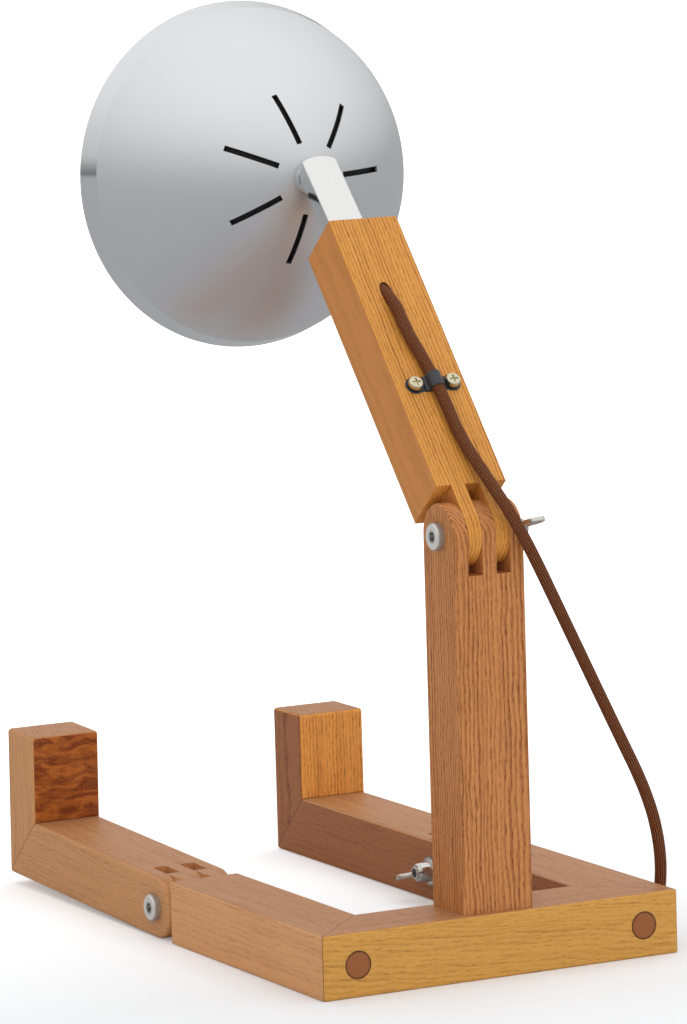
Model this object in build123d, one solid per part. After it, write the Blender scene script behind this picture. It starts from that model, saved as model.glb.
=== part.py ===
from build123d import *
from math import atan2, cos, degrees, radians, sin, sqrt, tan
import os

# Robot-shaped desk lamp: jointed wooden beams, a chrome neck and a spun metal shade.
# Millimetres, +Z up. The lamp faces -Y and its own left is +X. The origin is the middle
# of the crossbar's underside, on the surface that the lamp stands on.

# --- Wooden stock, shared by every beam ---
BEAM_WIDE = 38.5
BEAM_THICK = 32.0
EDGE_ROUND = 1.2
LEG_ROUND = 2.0            # shins and feet are worn rounder
HALF_WIDE = BEAM_WIDE / 2
HALF_THICK = BEAM_THICK / 2

# --- Knuckles: five finger lanes that interlock on a bolt along X ---
FINGER_GAP = 0.2           # between the sides of neighbouring fingers
KNUCKLE_GAP = 2.5          # from a finger's round end to the shoulder it faces
LANE = BEAM_WIDE / 5
SHOULDER = HALF_THICK + KNUCKLE_GAP
OUTER_LANES = (-2, 0, 2)
INNER_LANES = (-1, 1)

# --- Beam lengths, from a shoulder to the far end ---
BASE_WIDE = 197.6          # over both thighs
THIGH_LONG = 165.6
SHIN_LONG = 159.0
FOOT_HIGH = 78.0
TORSO_LONG = 165.7
BLOCK_LONG = 161.8
BLOCK_LEAN = 40.8          # degrees forward of upright
LEFT_KNEE_LIFT = 1.83      # degrees, the left foot is held just off the surface
MITRE_SPILL = 6.0          # how far a mitre's cutting wedge runs past the beam

# --- Dowels across the mitres, and the torso's screws ---
DOWEL_DIA = 14.0
DOWEL_LONG = 60.0
DOWEL_FIT = 0.05
TORSO_SCREW_DIA = 5.0
TORSO_SCREW_LONG = 70.0
TORSO_SCREW_HEAD = 9.6
TORSO_SCREW_PITCH = 18.0
TORSO_SCREW_SUNK = 0.6

# --- Knuckle hardware ---
BOLT_DIA = 6.0
BOLT_FIT = 0.05
BOLT_HEAD_DIA = 14.0
BOLT_HEAD_HIGH = 3.6
BOLT_HEAD_BEVEL = 0.9
BOLT_SOCKET = 5.0          # across the flats
BOLT_SOCKET_DEEP = 2.4
BOLT_PROUD = 1.2           # bolt's end past the nut's hub
WASHER_DIA = 15.0
WASHER_THICK = 1.2
NUT_BASE_DIA = 11.5
NUT_TOP_DIA = 9.5
NUT_HIGH = 7.6
NUT_SEAT_GAP = 0.05
WING_SPAN = 28.0           # from tip to tip
WING_REACH = 13.4          # from the nut's seat to the tips
WING_THICK = 2.2
WING_ROUND = 1.2
WAIST_NUT_TURN = 25.0      # degrees about the bolt
KNEE_NUT_TURN = 18.0

# --- Neck: a swivel let into the block's top carries a leaning channel ---
SWIVEL_SET = -4.0          # degrees about the block's long axis
DISC_DIA = 25.0
DISC_THICK = 4.0
DISC_FIT = 0.1
STEM_DIA = 10.0
STEM_BORE = 6.5
STEM_FIT = 0.05
STEM_PROUD = 1.5
BUSH_DIA = 15.0
BUSH_LONG = 14.0
SWIVEL_NUT_DIA = 14.2
SWIVEL_NUT_HIGH = 3.0
AXIAL_GAP = 0.05
WIRE_WELL = 8.0            # free bore below the swivel's nut
BAR_WIDE = 18.7
BAR_DEEP = 9.3
BAR_SHEET = 1.5
BAR_BEND = 0.9
BAR_SETBACK = -2.7         # the channel's middle from the swivel's axis
BAR_LEAN = 3.6             # degrees forward of the swivel's axis
BAR_TOP = 51.75
BAR_CROWN = 17.0           # radius of the web's round top
BAR_BROW = 4.5             # radius of the flanges' upper front corners
BAR_TAIL = 4.0             # stock below the disc's face, trimmed to it

# --- Head: hub, shade, holder and bulb turn on a pin across the channel ---
PIVOT_RISE = 41.2
PIVOT_FORE = 0.75
HEAD_TILT = 47.5           # degrees from the channel to the shade's axis
PIN_DIA = 4.0
PIN_FIT = 0.05
LUG_RADIUS = 3.7
LUG_SIDE_GAP = 0.15
HUB_DIA = 18.0
HUB_FACE = 8.3             # pivot to the hub's rear face
SEAT_DROP = 12.0           # pivot to the shade's flat seat
SEAT_RADIUS = 10.0
NIPPLE_DIA = 10.0
NIPPLE_BORE = 6.5
NIPPLE_FIT = 0.1
HUB_NUT_FLATS = 14.0
HUB_NUT_HIGH = 3.0
SHADE_SHEET = 1.2
DOME_SLOPE = 13.5          # degrees, where the dome leaves the seat
WAIST_RADIUS, WAIST_DROP = 44.0, 28.9
CREASE_RADIUS, CREASE_DROP = 86.3, 88.7
RIM_RADIUS, RIM_DROP = 89.8, 102.7
SLOTS = 7
SLOT_WIDE = 2.9
SLOT_INNER = 18.3
SLOT_OUTER = 44.0
FIRST_SLOT = 12.86         # degrees from straight up
HOLDER_DIA = 27.0
HOLDER_LONG = 24.0
HOLDER_SOCKET = 6.0        # depth of the nipple's socket
HOLDER_ROUND = 1.5
BULB_NECK_DIA = 22.0
BULB_NECK_LONG = 9.0
BULB_DIA = 50.0
BULB_LONG = 47.0
BULB_BAND = 6.0            # straight band behind the lens
LENS_INSET = 1.5
LENS_THICK = 2.5
BULB_GAP = 0.2
PIN_PITCH = 10.0           # GU10 cap
BULB_PIN_DIA = 3.0
BULB_PIN_LONG = 7.0
BULB_PIN_FIT = 0.25

# --- Cord and its saddle on the block's rear face ---
CORD_DIA = 6.0
CORD_LIFT = 0.2            # between the cord and the wood it lies on
CORD_FIT = 0.3             # round the cord in its bore
HOLE_X = 3.6
BORE_SLOPE = 35.0          # degrees between the bore and the rear face
BORE_BEND = 130.0          # where the cord turns into its bore, up the block
BORE_RUN = 21.0
BORE_LONG = 38.0
FACE_ROUTE = ((3.6, 108.0), (0.1, 88.0), (-1.8, 67.0), (-1.9, 43.0))   # across and up the block
FACE_END = (-5.2, 20.0)
END_LIFT = 2.2             # the cord's rise off the face at the block's lower end
LEAVE_RUN = 36.0
HANG_ROUTE = (
    (-41.8, 14.9, 170.1),
    (-72.1, 6.4, 116.3),
    (-94.2, 1.3, 76.9),
    (-103.6, -3.5, 48.0),
    (-107.6, -12.0, 22.0),
)
SWITCH_RUN = 24.0          # last straight run into the switch
SADDLE_X, SADDLE_RISE = -0.9, 77.5
SADDLE_WIDE = 9.6
SADDLE_SHEET = 1.5
SADDLE_FIT = 0.6
SADDLE_PITCH = 20.6
SADDLE_EAR = 5.0
CLIP_SCREW_HEAD = 7.6
CLIP_SCREW_HEAD_HIGH = 2.3
CLIP_SCREW_DIA = 3.4
CLIP_SCREW_LONG = 14.0
CROSS_WIDE, CROSS_LONG, CROSS_DEEP = 0.9, 4.4, 1.2

# --- Inline switch, tied hank and plug, along the right leg's outer side ---
LEAD_GAP = 1.7             # from the leg's outer side to the switch
SNOUT_LONG = 8.0
SNOUT_DIA = 9.0
SNOUT_TIP_DIA = 7.4
SWITCH_START_Y = -58.0
SWITCH_LONG = 60.0
SWITCH_WIDE = 24.0
SWITCH_HIGH = 14.0
SWITCH_ROUND = 3.0
ROCKER_LONG = 15.0
ROCKER_WIDE = 9.0
ROCKER_RISE = 4.0          # pivot to the rocker's ends' upper faces
ROCKER_DIP = 1.0
ROCKER_PROUD = 1.6
ROCKER_TILT = 6.0          # degrees, resting on one side
ROCKER_GAP = 0.5
ROCKER_WELL = 4.5          # pivot to the well's floor
TRUNNION_DIA = 2.0
TRUNNION_LONG = 1.6
TRUNNION_FIT = 0.05
LINK_LONG = 12.0           # cord from the switch to the hank
STRAND_PITCH = 6.2         # between neighbouring strands of the hank
FOLD_INNER = 18.0          # radius of its inner folds; the outer ones lie round them
FOLD_SPACING = 116.0       # between the middles of the folds at its two ends
HANK_EDGE = 2.5
HANK_GRIP = 15.0           # cord's run inside the hank's outline
TIE_WIDE = 10.0
TIE_THICK = 0.9
TIE_SLACK = 0.1
TAIL_LONG = 14.0           # cord from the hank to the plug
PLUG_SNOUT_LONG = 16.0
PLUG_LONG = 34.0
PLUG_WIDE = 35.0
PLUG_HIGH = 14.0
PLUG_CORNER = 9.0
PLUG_ROUND = 3.0
PLUG_PIN_DIA = 4.0
PLUG_PIN_LONG = 19.0
PLUG_PIN_PITCH = 19.0
PLUG_PIN_ROOT = 8.0
PLUG_PIN_FIT = 0.05

# --- Frames ---
REAR_Y = HALF_WIDE
THIGH_X = BASE_WIDE / 2 - HALF_WIDE
KNEE_Y = REAR_Y - THIGH_LONG - SHOULDER
WAIST_Z = BEAM_THICK + TORSO_LONG + SHOULDER
BLOCK_TOP = SHOULDER + BLOCK_LONG
TOE = SHOULDER + SHIN_LONG
WAIST = Pos(0, 0, WAIST_Z)
BLOCK = WAIST * Rot(BLOCK_LEAN, 0, 0)
SWIVEL = BLOCK * Pos(0, 0, BLOCK_TOP) * Rot(0, 0, SWIVEL_SET)
BAR = SWIVEL * Pos(0, BAR_SETBACK, 0) * Rot(BAR_LEAN, 0, 0)
HEAD = BAR * Pos(0, -PIVOT_FORE, PIVOT_RISE) * Rot(HEAD_TILT, 0, 0)
SEAT_INSIDE = SEAT_DROP + SHADE_SHEET
HOLDER_START = SEAT_INSIDE + HUB_NUT_HIGH
BULB_START = HOLDER_START + HOLDER_LONG + BULB_GAP
LEAD_X = -(BASE_WIDE / 2 + LEAD_GAP + SWITCH_WIDE / 2)
LEAD_Z = SWITCH_HIGH / 2
FOLD_OUTER = FOLD_INNER + STRAND_PITCH
HANK_WIDE = 2 * FOLD_OUTER + CORD_DIA
HANK_LONG = FOLD_SPACING + HANK_WIDE
HANK_HIGH = STRAND_PITCH
HANK_WAIST = 4 * STRAND_PITCH
HANK_X = LEAD_X - FOLD_OUTER   # its nearer outer strands are in line with the switch
SWITCH_END_Y = SWITCH_START_Y - SWITCH_LONG - 2 * SNOUT_LONG
HANK_START_Y = SWITCH_END_Y - LINK_LONG
HANK_END_Y = HANK_START_Y - HANK_LONG
HANK_Z = TIE_THICK + TIE_SLACK + HANK_HIGH / 2
OVER_Z = HANK_Z + STRAND_PITCH
PLUG_START_Y = HANK_END_Y - TAIL_LONG
CORD_ON_FACE = HALF_THICK + CORD_LIFT + CORD_DIA / 2


# ---------- shapes used more than once ----------

def rod_x(dia, start, end):
    """Round bar along X."""
    return Pos((start + end) / 2, 0, 0) * Rot(0, 90, 0) * Cylinder(dia / 2, abs(end - start))


def rod_y(dia, start, end):
    """Round bar along Y."""
    return Pos(0, (start + end) / 2, 0) * Rot(90, 0, 0) * Cylinder(dia / 2, abs(end - start))


def rod_z(dia, start, end):
    """Round bar along Z."""
    return Pos(0, 0, (start + end) / 2) * Cylinder(dia / 2, abs(end - start))


def cone_z(start_dia, end_dia, start, end):
    """Cone along Z, with its first diameter at the start."""
    return Pos(0, 0, (start + end) / 2) * Cone(start_dia / 2, end_dia / 2, end - start)


def beam(length, edge, round_end=True):
    """Beam along +Z from its knuckle's pivot: half-round at the pivot, square at the far end."""
    outline = Circle(HALF_THICK) + Pos(0, length / 2) * Rectangle(BEAM_THICK, length)
    solid = extrude(Plane.YZ * outline, HALF_WIDE, both=True)
    rims = solid.faces().filter_by(Axis.X).edges()
    end = solid.edges().filter_by(Axis.X).group_by(Axis.Z)[-1]
    if round_end:
        return fillet(rims + end, edge)
    return fillet(rims.filter_by(lambda rim: rim.center().Z < length - edge), edge)


def cut_lanes(solid, lanes):
    """Clear the lanes that the mating beam's fingers fill, and bore for the bolt."""
    low = -HALF_THICK - MITRE_SPILL
    for lane in lanes:
        slot = Box(LANE + FINGER_GAP, BEAM_THICK + MITRE_SPILL, SHOULDER - low)
        solid -= Pos(lane * LANE, 0, (SHOULDER + low) / 2) * slot
    return solid - rod_x(BOLT_DIA + 2 * BOLT_FIT, -BEAM_WIDE, BEAM_WIDE)


def wedge(plane, corners, depth):
    """Prism through a beam that trims it to a mitre."""
    return extrude(plane * make_face(Polyline(*corners, close=True)), depth, both=True)


# ---------- base ----------

def mitre_corners(side, crossbar_side):
    """Triangle in plan on one side of a base corner's diagonal."""
    inner = BASE_WIDE / 2 - BEAM_WIDE - MITRE_SPILL
    outer = BASE_WIDE / 2 + MITRE_SPILL
    front = -HALF_WIDE - MITRE_SPILL
    rear = REAR_Y + MITRE_SPILL
    third = (inner, rear) if crossbar_side else (outer, front)
    return [(side * x, y) for x, y in ((inner, front), (outer, rear), third)]


def dowel_rod(extra=0.0):
    """Dowel along Y from y = 0 forward, with any extra on its diameter."""
    return rod_y(DOWEL_DIA + extra, -DOWEL_LONG, 0)


def rear_dowel_place(side):
    return Pos(side * THIGH_X, REAR_Y, HALF_THICK)


def torso_screw(extra=0.0):
    """Countersunk screw up from the crossbar's underside."""
    top = TORSO_SCREW_SUNK + TORSO_SCREW_LONG
    throat = TORSO_SCREW_SUNK + (TORSO_SCREW_HEAD - TORSO_SCREW_DIA) / 2
    head = cone_z(TORSO_SCREW_HEAD + extra, TORSO_SCREW_DIA + extra, TORSO_SCREW_SUNK, throat)
    return head + rod_z(TORSO_SCREW_DIA + extra, throat, top)


def torso_screws(extra=0.0):
    places = (-TORSO_SCREW_PITCH / 2, TORSO_SCREW_PITCH / 2)
    return Part() + [Pos(x, 0, 0) * torso_screw(extra) for x in places]


def hip_crossbar():
    """Rear bar of the base, mitred to both thighs."""
    bar = fillet(Box(BASE_WIDE, BEAM_WIDE, BEAM_THICK).edges(), EDGE_ROUND)
    bar = Pos(0, 0, HALF_THICK) * bar
    for side in (-1, 1):
        bar -= wedge(Plane.XY, mitre_corners(side, False), BEAM_THICK + MITRE_SPILL)
        bar -= rear_dowel_place(side) * dowel_rod(2 * DOWEL_FIT)
    mouth = rod_z(TORSO_SCREW_HEAD + 2 * DOWEL_FIT, -EDGE_ROUND, TORSO_SCREW_SUNK)
    for x in (-TORSO_SCREW_PITCH / 2, TORSO_SCREW_PITCH / 2):
        bar -= Pos(x, 0, 0) * mouth
    return bar - torso_screws(2 * DOWEL_FIT)


def thigh(side):
    """Side bar of the base, from the mitre forward to the knee's two fingers."""
    solid = cut_lanes(beam(SHOULDER + THIGH_LONG, EDGE_ROUND), OUTER_LANES)
    solid = Pos(side * THIGH_X, KNEE_Y, HALF_THICK) * Rot(-90, 0, 0) * solid
    solid -= wedge(Plane.XY, mitre_corners(side, True), BEAM_THICK + MITRE_SPILL)
    return solid - rear_dowel_place(side) * dowel_rod(2 * DOWEL_FIT)


def crossbar_dowels():
    return Part() + [rear_dowel_place(side) * dowel_rod() for side in (-1, 1)]


def torso():
    """Upright post on the crossbar, with the waist's three fingers."""
    solid = cut_lanes(beam(SHOULDER + TORSO_LONG, EDGE_ROUND, round_end=False), INNER_LANES)
    return WAIST * Rot(180, 0, 0) * solid - torso_screws(2 * DOWEL_FIT)


# ---------- legs, in a frame at the knee's pivot with the shin along -Y ----------

def leg_place(side):
    lift = LEFT_KNEE_LIFT if side > 0 else 0.0
    return Pos(side * THIGH_X, KNEE_Y, HALF_THICK) * Rot(-lift, 0, 0)


def toe_corners(shin_side):
    """Triangle seen from the side, on one side of the toe's diagonal."""
    inner = -TOE + BEAM_THICK + MITRE_SPILL
    front = -TOE - MITRE_SPILL
    high = HALF_THICK + MITRE_SPILL
    low = -HALF_THICK - MITRE_SPILL
    third = (inner, low) if shin_side else (front, high)
    return [(inner, high), (front, low), third]


def toe_dowel(extra=0.0):
    return Pos(0, -TOE, 0) * Rot(0, 0, 180) * dowel_rod(extra)


def shin(side):
    """Lower leg, from the knee's three fingers to the toe's mitre."""
    solid = Rot(90, 0, 0) * cut_lanes(beam(TOE, LEG_ROUND), INNER_LANES)
    solid -= wedge(Plane.YZ, toe_corners(False), BEAM_WIDE)
    return leg_place(side) * (solid - toe_dowel(2 * DOWEL_FIT))


def foot(side):
    """Upright foot, mitred to the shin."""
    block = fillet(Box(BEAM_WIDE, BEAM_THICK, FOOT_HIGH).edges(), LEG_ROUND)
    block = Pos(0, HALF_THICK - TOE, FOOT_HIGH / 2 - HALF_THICK) * block
    block -= wedge(Plane.YZ, toe_corners(True), BEAM_WIDE)
    return leg_place(side) * (block - toe_dowel(2 * DOWEL_FIT))


# ---------- knuckle hardware, in a frame at the pivot with the bolt's head on +X ----------

def knuckle_bolt():
    """Bevelled socket-head bolt that reaches just past the wing nut."""
    outside = HALF_WIDE + BOLT_HEAD_HIGH
    head = rod_x(BOLT_HEAD_DIA, HALF_WIDE, outside)
    head = chamfer(head.edges().group_by(Axis.X)[-1], BOLT_HEAD_BEVEL)
    socket = Plane.YZ.offset(outside) * RegularPolygon(BOLT_SOCKET / sqrt(3), 6)
    head -= extrude(socket, -BOLT_SOCKET_DEEP)
    end = HALF_WIDE + WASHER_THICK + NUT_SEAT_GAP + NUT_HIGH + BOLT_PROUD
    return head + rod_x(BOLT_DIA, -end, HALF_WIDE)


def knuckle_washer():
    inner = -HALF_WIDE
    ring = rod_x(WASHER_DIA, inner - WASHER_THICK, inner)
    return ring - rod_x(BOLT_DIA + 2 * BOLT_FIT, inner - 2 * WASHER_THICK, inner + WASHER_THICK)


def wing_outline():
    """One wing, as distance from the bolt's axis and height over the nut's seat."""
    tip = WING_SPAN / 2
    root = BOLT_DIA / 2 + BOLT_FIT + 0.6
    return [
        (root, 0.15 * WING_REACH),
        (0.60 * tip, 0.22 * WING_REACH),
        (0.93 * tip, 0.50 * WING_REACH),
        (tip, 0.80 * WING_REACH),
        (0.90 * tip, WING_REACH),
        (0.66 * tip, 0.95 * WING_REACH),
        (root, NUT_HIGH - 0.6),
    ]


def wing_nut(turn):
    """Cast wing nut on the bolt's end, its wings turned about the bolt."""
    hub = cone_z(NUT_BASE_DIA, NUT_TOP_DIA, 0, NUT_HIGH)
    wing = extrude(Plane.XZ * make_face(Polyline(*wing_outline(), close=True)), WING_THICK / 2, both=True)
    wing = fillet(wing.edges().filter_by(Axis.Y).sort_by(Axis.X)[-3:], WING_ROUND)
    nut = hub + wing + Rot(0, 0, 180) * wing
    nut -= rod_z(BOLT_DIA + 2 * BOLT_FIT, -NUT_HIGH, 2 * NUT_HIGH)
    seat = HALF_WIDE + WASHER_THICK + NUT_SEAT_GAP
    return Rot(turn, 0, 0) * Pos(-seat, 0, 0) * Rot(0, -90, 0) * Rot(0, 0, 90) * nut


def on_side(side, solid):
    """Left-hand solid as it is, or mirrored for the right."""
    return solid if side > 0 else mirror(solid, about=Plane.YZ)


# ---------- neck block, in a frame at the waist's pivot with the block along +Z ----------

def block_bore():
    """Stepped bore for the swivel, down from the block's top."""
    bush_end = BLOCK_TOP - DISC_THICK - AXIAL_GAP - BUSH_LONG
    floor = bush_end - SWIVEL_NUT_HIGH - WIRE_WELL
    bore = rod_z(DISC_DIA + 2 * DISC_FIT, BLOCK_TOP - DISC_THICK - AXIAL_GAP, BLOCK_TOP + BLOCK_LONG)
    return bore + rod_z(BUSH_DIA + 2 * STEM_FIT, floor, BLOCK_TOP)


def neck_block():
    """Leaning block, with the waist's two fingers, the swivel's bore and the cord's bore."""
    solid = cut_lanes(beam(BLOCK_TOP, EDGE_ROUND), OUTER_LANES)
    solid -= block_bore()
    solid -= saddle_place() * clip_screws(2 * DOWEL_FIT)
    solid = BLOCK * solid
    return solid - cord_tube(block_route(BORE_LONG), CORD_DIA + 2 * CORD_FIT)


def swivel_bush():
    """Bearing pressed into the block under the swivel's disc."""
    top = BLOCK_TOP - DISC_THICK - AXIAL_GAP
    bush = rod_z(BUSH_DIA, top - BUSH_LONG, top)
    return BLOCK * (bush - rod_z(STEM_DIA + 2 * STEM_FIT, top - 2 * BUSH_LONG, top + BUSH_LONG))


def neck_swivel():
    """Disc flush with the block's top, on a hollow stem through the bush."""
    stem_end = -DISC_THICK - 2 * AXIAL_GAP - BUSH_LONG - SWIVEL_NUT_HIGH - STEM_PROUD
    solid = rod_z(DISC_DIA, -DISC_THICK, 0) + rod_z(STEM_DIA, stem_end, -DISC_THICK)
    return SWIVEL * (solid - rod_z(STEM_BORE, stem_end - STEM_PROUD, STEM_PROUD))


def swivel_nut():
    """Round nut that keeps the stem in its bush."""
    top = -DISC_THICK - 2 * AXIAL_GAP - BUSH_LONG
    nut = rod_z(SWIVEL_NUT_DIA, top - SWIVEL_NUT_HIGH, top)
    return SWIVEL * (nut - rod_z(STEM_DIA, top - 2 * SWIVEL_NUT_HIGH, top + SWIVEL_NUT_HIGH))


def neck_bar():
    """Channel, web to the rear, trimmed to the disc's face and crowned at the top."""
    middle = (BAR_TOP - BAR_TAIL) / 2
    channel = Pos(0, 0, middle) * Box(BAR_WIDE, BAR_DEEP, BAR_TOP + BAR_TAIL)
    channel = fillet(channel.edges().filter_by(Axis.Z).group_by(Axis.Y)[-1], BAR_BEND)
    inside = Box(BAR_WIDE - 2 * BAR_SHEET, BAR_DEEP, 2 * (BAR_TOP + BAR_TAIL))
    channel -= Pos(0, -BAR_SHEET, middle) * inside
    crown = Circle(BAR_CROWN) + Pos(0, -BAR_TOP) * Rectangle(2 * BAR_CROWN, 2 * BAR_TOP)
    channel &= extrude(Plane.XZ * (Pos(0, BAR_TOP - BAR_CROWN) * crown), BAR_DEEP, both=True)
    side_top = BAR_TOP - BAR_CROWN + sqrt(BAR_CROWN ** 2 - BAR_WIDE ** 2 / 4)
    brow_y, brow_z = BAR_BROW - BAR_DEEP / 2, side_top - BAR_BROW
    brow = Pos(0, brow_y - BAR_BROW / 2, side_top) * Box(2 * BAR_WIDE, BAR_BROW, 2 * BAR_BROW)
    channel -= brow - Pos(0, brow_y, brow_z) * rod_x(2 * BAR_BROW, -BAR_WIDE, BAR_WIDE)
    below = SWIVEL * Pos(0, 0, -BAR_TOP / 2) * Box(2 * DISC_DIA, 2 * DISC_DIA, BAR_TOP)
    return BAR * channel - below - HEAD * rod_x(PIN_DIA, -BAR_WIDE, BAR_WIDE)


def tilt_pin():
    """Pin across the channel, flush with its flanges."""
    return HEAD * rod_x(PIN_DIA, -BAR_WIDE / 2, BAR_WIDE / 2)


# ---------- head, in a frame at the tilt pin with the shade's axis along +Z ----------

def shade_hub():
    """Lug between the flanges, boss on the shade and hollow nipple through it."""
    lug_wide = BAR_WIDE - 2 * BAR_SHEET - 2 * LUG_SIDE_GAP
    lug = rod_x(2 * LUG_RADIUS, -lug_wide / 2, lug_wide / 2)
    lug += Pos(0, 0, HUB_FACE / 2) * Box(lug_wide, 2 * LUG_RADIUS, HUB_FACE)
    nipple_end = HOLDER_START + HOLDER_SOCKET
    hub = lug + rod_z(HUB_DIA, HUB_FACE, SEAT_DROP) + rod_z(NIPPLE_DIA, SEAT_DROP, nipple_end)
    hub -= rod_z(NIPPLE_BORE, HUB_FACE, nipple_end + HUB_FACE)
    return HEAD * (hub - rod_x(PIN_DIA + 2 * PIN_FIT, -BAR_WIDE, BAR_WIDE))


def hub_nut():
    """Nut on the nipple that clamps the shade to the boss."""
    nut = extrude(RegularPolygon(HUB_NUT_FLATS / sqrt(3), 6), HUB_NUT_HIGH)
    nut -= rod_z(NIPPLE_DIA, -HUB_NUT_HIGH, 2 * HUB_NUT_HIGH)
    return HEAD * Pos(0, 0, SEAT_INSIDE) * nut


def chord_slope(start, end):
    """Slope in degrees from one point of the shade's profile to another."""
    return degrees(atan2(end[1] - start[1], end[0] - start[0]))


def inset_corner(point, slope_in, slope_out, inset):
    """Corner of the profile moved into the metal, square to both of its slopes."""
    middle = radians((slope_in + slope_out) / 2)
    reach = inset / cos(radians((slope_out - slope_in) / 2))
    return (point[0] - reach * sin(middle), point[1] + reach * cos(middle))


def shade_region(inset, past_rim):
    """Half-section inside the shade's profile: flat seat, two tangent arcs, then the lip."""
    leave, waist = (SEAT_RADIUS, SEAT_DROP), (WAIST_RADIUS, WAIST_DROP)
    crease, rim = (CREASE_RADIUS, CREASE_DROP), (RIM_RADIUS, RIM_DROP)
    waist_slope = 2 * chord_slope(leave, waist) - DOME_SLOPE
    crease_slope = 2 * chord_slope(waist, crease) - waist_slope
    lip_slope = chord_slope(crease, rim)
    end = (rim[0] + past_rim * cos(radians(lip_slope)), rim[1] + past_rim * sin(radians(lip_slope)))
    seat = (0, SEAT_DROP + inset)
    leave = inset_corner(leave, 0, DOME_SLOPE, inset)
    waist = inset_corner(waist, waist_slope, waist_slope, inset)
    crease = inset_corner(crease, crease_slope, lip_slope, inset)
    end = inset_corner(end, lip_slope, lip_slope, inset)
    crown = TangentArc(leave, waist, tangent=(cos(radians(DOME_SLOPE)), sin(radians(DOME_SLOPE))))
    flank = TangentArc(waist, crease, tangent=(cos(radians(waist_slope)), sin(radians(waist_slope))))
    lip = Line(crease, end) + Line(end, (0, end[1]))
    return Plane.XZ * make_face(Line(seat, leave) + crown + flank + lip + Line((0, end[1]), seat))


def shade_slots():
    """Radial vent slots, evenly round the dome."""
    middle = (SLOT_INNER + SLOT_OUTER) / 2
    slot = Pos(0, middle) * Rectangle(SLOT_WIDE, SLOT_OUTER - SLOT_INNER)
    cutter = extrude(slot, RIM_DROP)
    return Part() + [Rot(0, 0, -FIRST_SLOT - step * 360 / SLOTS) * cutter for step in range(SLOTS)]


def shade_shell():
    """Spun sheet-metal shade with a rounded rim and its vent slots."""
    sheet = shade_region(0, 0) - shade_region(SHADE_SHEET, SHADE_SHEET)
    sheet = fillet(sheet.vertices().sort_by(Axis.Z)[-2:], 0.4 * SHADE_SHEET)
    shell = revolve(sheet, Axis.Z) - rod_z(NIPPLE_DIA + 2 * NIPPLE_FIT, 0, RIM_DROP)
    return HEAD * (shell - shade_slots())


def on_pins(solid):
    """The same shape at both contacts of the bulb's cap."""
    return Part() + [Pos(side * PIN_PITCH / 2, 0, BULB_START) * solid for side in (-1, 1)]


def lamp_holder():
    """Two-hole lamp holder screwed on the nipple."""
    end = HOLDER_START + HOLDER_LONG
    holder = fillet(rod_z(HOLDER_DIA, HOLDER_START, end).edges().filter_by(GeomType.CIRCLE), HOLDER_ROUND)
    holder -= rod_z(NIPPLE_DIA + 2 * NIPPLE_FIT, 0, HOLDER_START + HOLDER_SOCKET + NIPPLE_FIT)
    return HEAD * (holder - on_pins(rod_z(BULB_PIN_DIA + 2 * BULB_PIN_FIT, -BULB_PIN_LONG - 1, BULB_PIN_LONG)))


def bulb_body():
    """Reflector bulb: neck, flare and straight band, recessed for its lens."""
    flare = BULB_LONG - BULB_NECK_LONG - BULB_BAND
    body = rod_z(BULB_NECK_DIA, 0, BULB_NECK_LONG)
    body += cone_z(BULB_NECK_DIA, BULB_DIA, BULB_NECK_LONG, BULB_NECK_LONG + flare)
    body += rod_z(BULB_DIA, BULB_LONG - BULB_BAND, BULB_LONG)
    body -= rod_z(BULB_DIA - 2 * LENS_INSET, BULB_LONG - LENS_THICK, BULB_LONG + LENS_THICK)
    return HEAD * (Pos(0, 0, BULB_START) * body - on_pins(rod_z(BULB_PIN_DIA, -LENS_THICK, LENS_THICK)))


def bulb_lens():
    lens = rod_z(BULB_DIA - 2 * LENS_INSET, BULB_LONG - LENS_THICK, BULB_LONG)
    return HEAD * Pos(0, 0, BULB_START) * lens


def bulb_pins():
    return HEAD * on_pins(rod_z(BULB_PIN_DIA, -BULB_PIN_LONG, LENS_THICK))


# ---------- cord ----------

def block_point(across, out, up):
    """Point given across, out from the middle of, and up the neck block."""
    return (BLOCK * Pos(across, out, up)).position


def block_leave():
    """Point where the cord leaves the block's lower end."""
    return block_point(FACE_END[0], CORD_ON_FACE + END_LIFT, FACE_END[1])


def block_route(bore_run):
    """Cord's points on the block, from inside its bore to the block's lower end."""
    slope = radians(BORE_SLOPE)
    start = block_point(HOLE_X, CORD_ON_FACE - bore_run * sin(slope), BORE_BEND + bore_run * cos(slope))
    bend = block_point(HOLE_X, CORD_ON_FACE, BORE_BEND)
    face = [block_point(across, CORD_ON_FACE, up) for across, up in FACE_ROUTE]
    return [start, bend] + face + [block_leave()]


def hanging_route():
    """Cord's points from the block's lower end down to the switch."""
    leave = block_leave()
    last_run = leave - block_point(FACE_ROUTE[-1][0], CORD_ON_FACE, FACE_ROUTE[-1][1])
    free = leave + last_run.normalized() * LEAVE_RUN
    inlet = [Vector(LEAD_X, SWITCH_START_Y + SWITCH_RUN, LEAD_Z), Vector(LEAD_X, SWITCH_START_Y, LEAD_Z)]
    return [leave, free] + [Vector(*point) for point in HANG_ROUTE] + inlet


def bend_radii(points):
    """Radius at each inner point: 0.45 of the shorter run over the tangent of half the turn."""
    radii = []
    for before, here, after in zip(points, points[1:], points[2:]):
        first, second = here - before, after - here
        half_turn = radians(first.get_angle(second) / 2)
        radii.append(0.45 * min(first.length, second.length) / tan(half_turn))
    return radii


def cord_path(points):
    if len(points) == 2:
        return Line(*points)
    return FilletPolyline(*points, radius=bend_radii(points))


def cord_tube(points, dia):
    path = cord_path(points)
    return sweep(Plane(origin=path @ 0, z_dir=path % 0) * Circle(dia / 2), path=path)


def cord_upper():
    return cord_tube(block_route(BORE_RUN), CORD_DIA)


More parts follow.
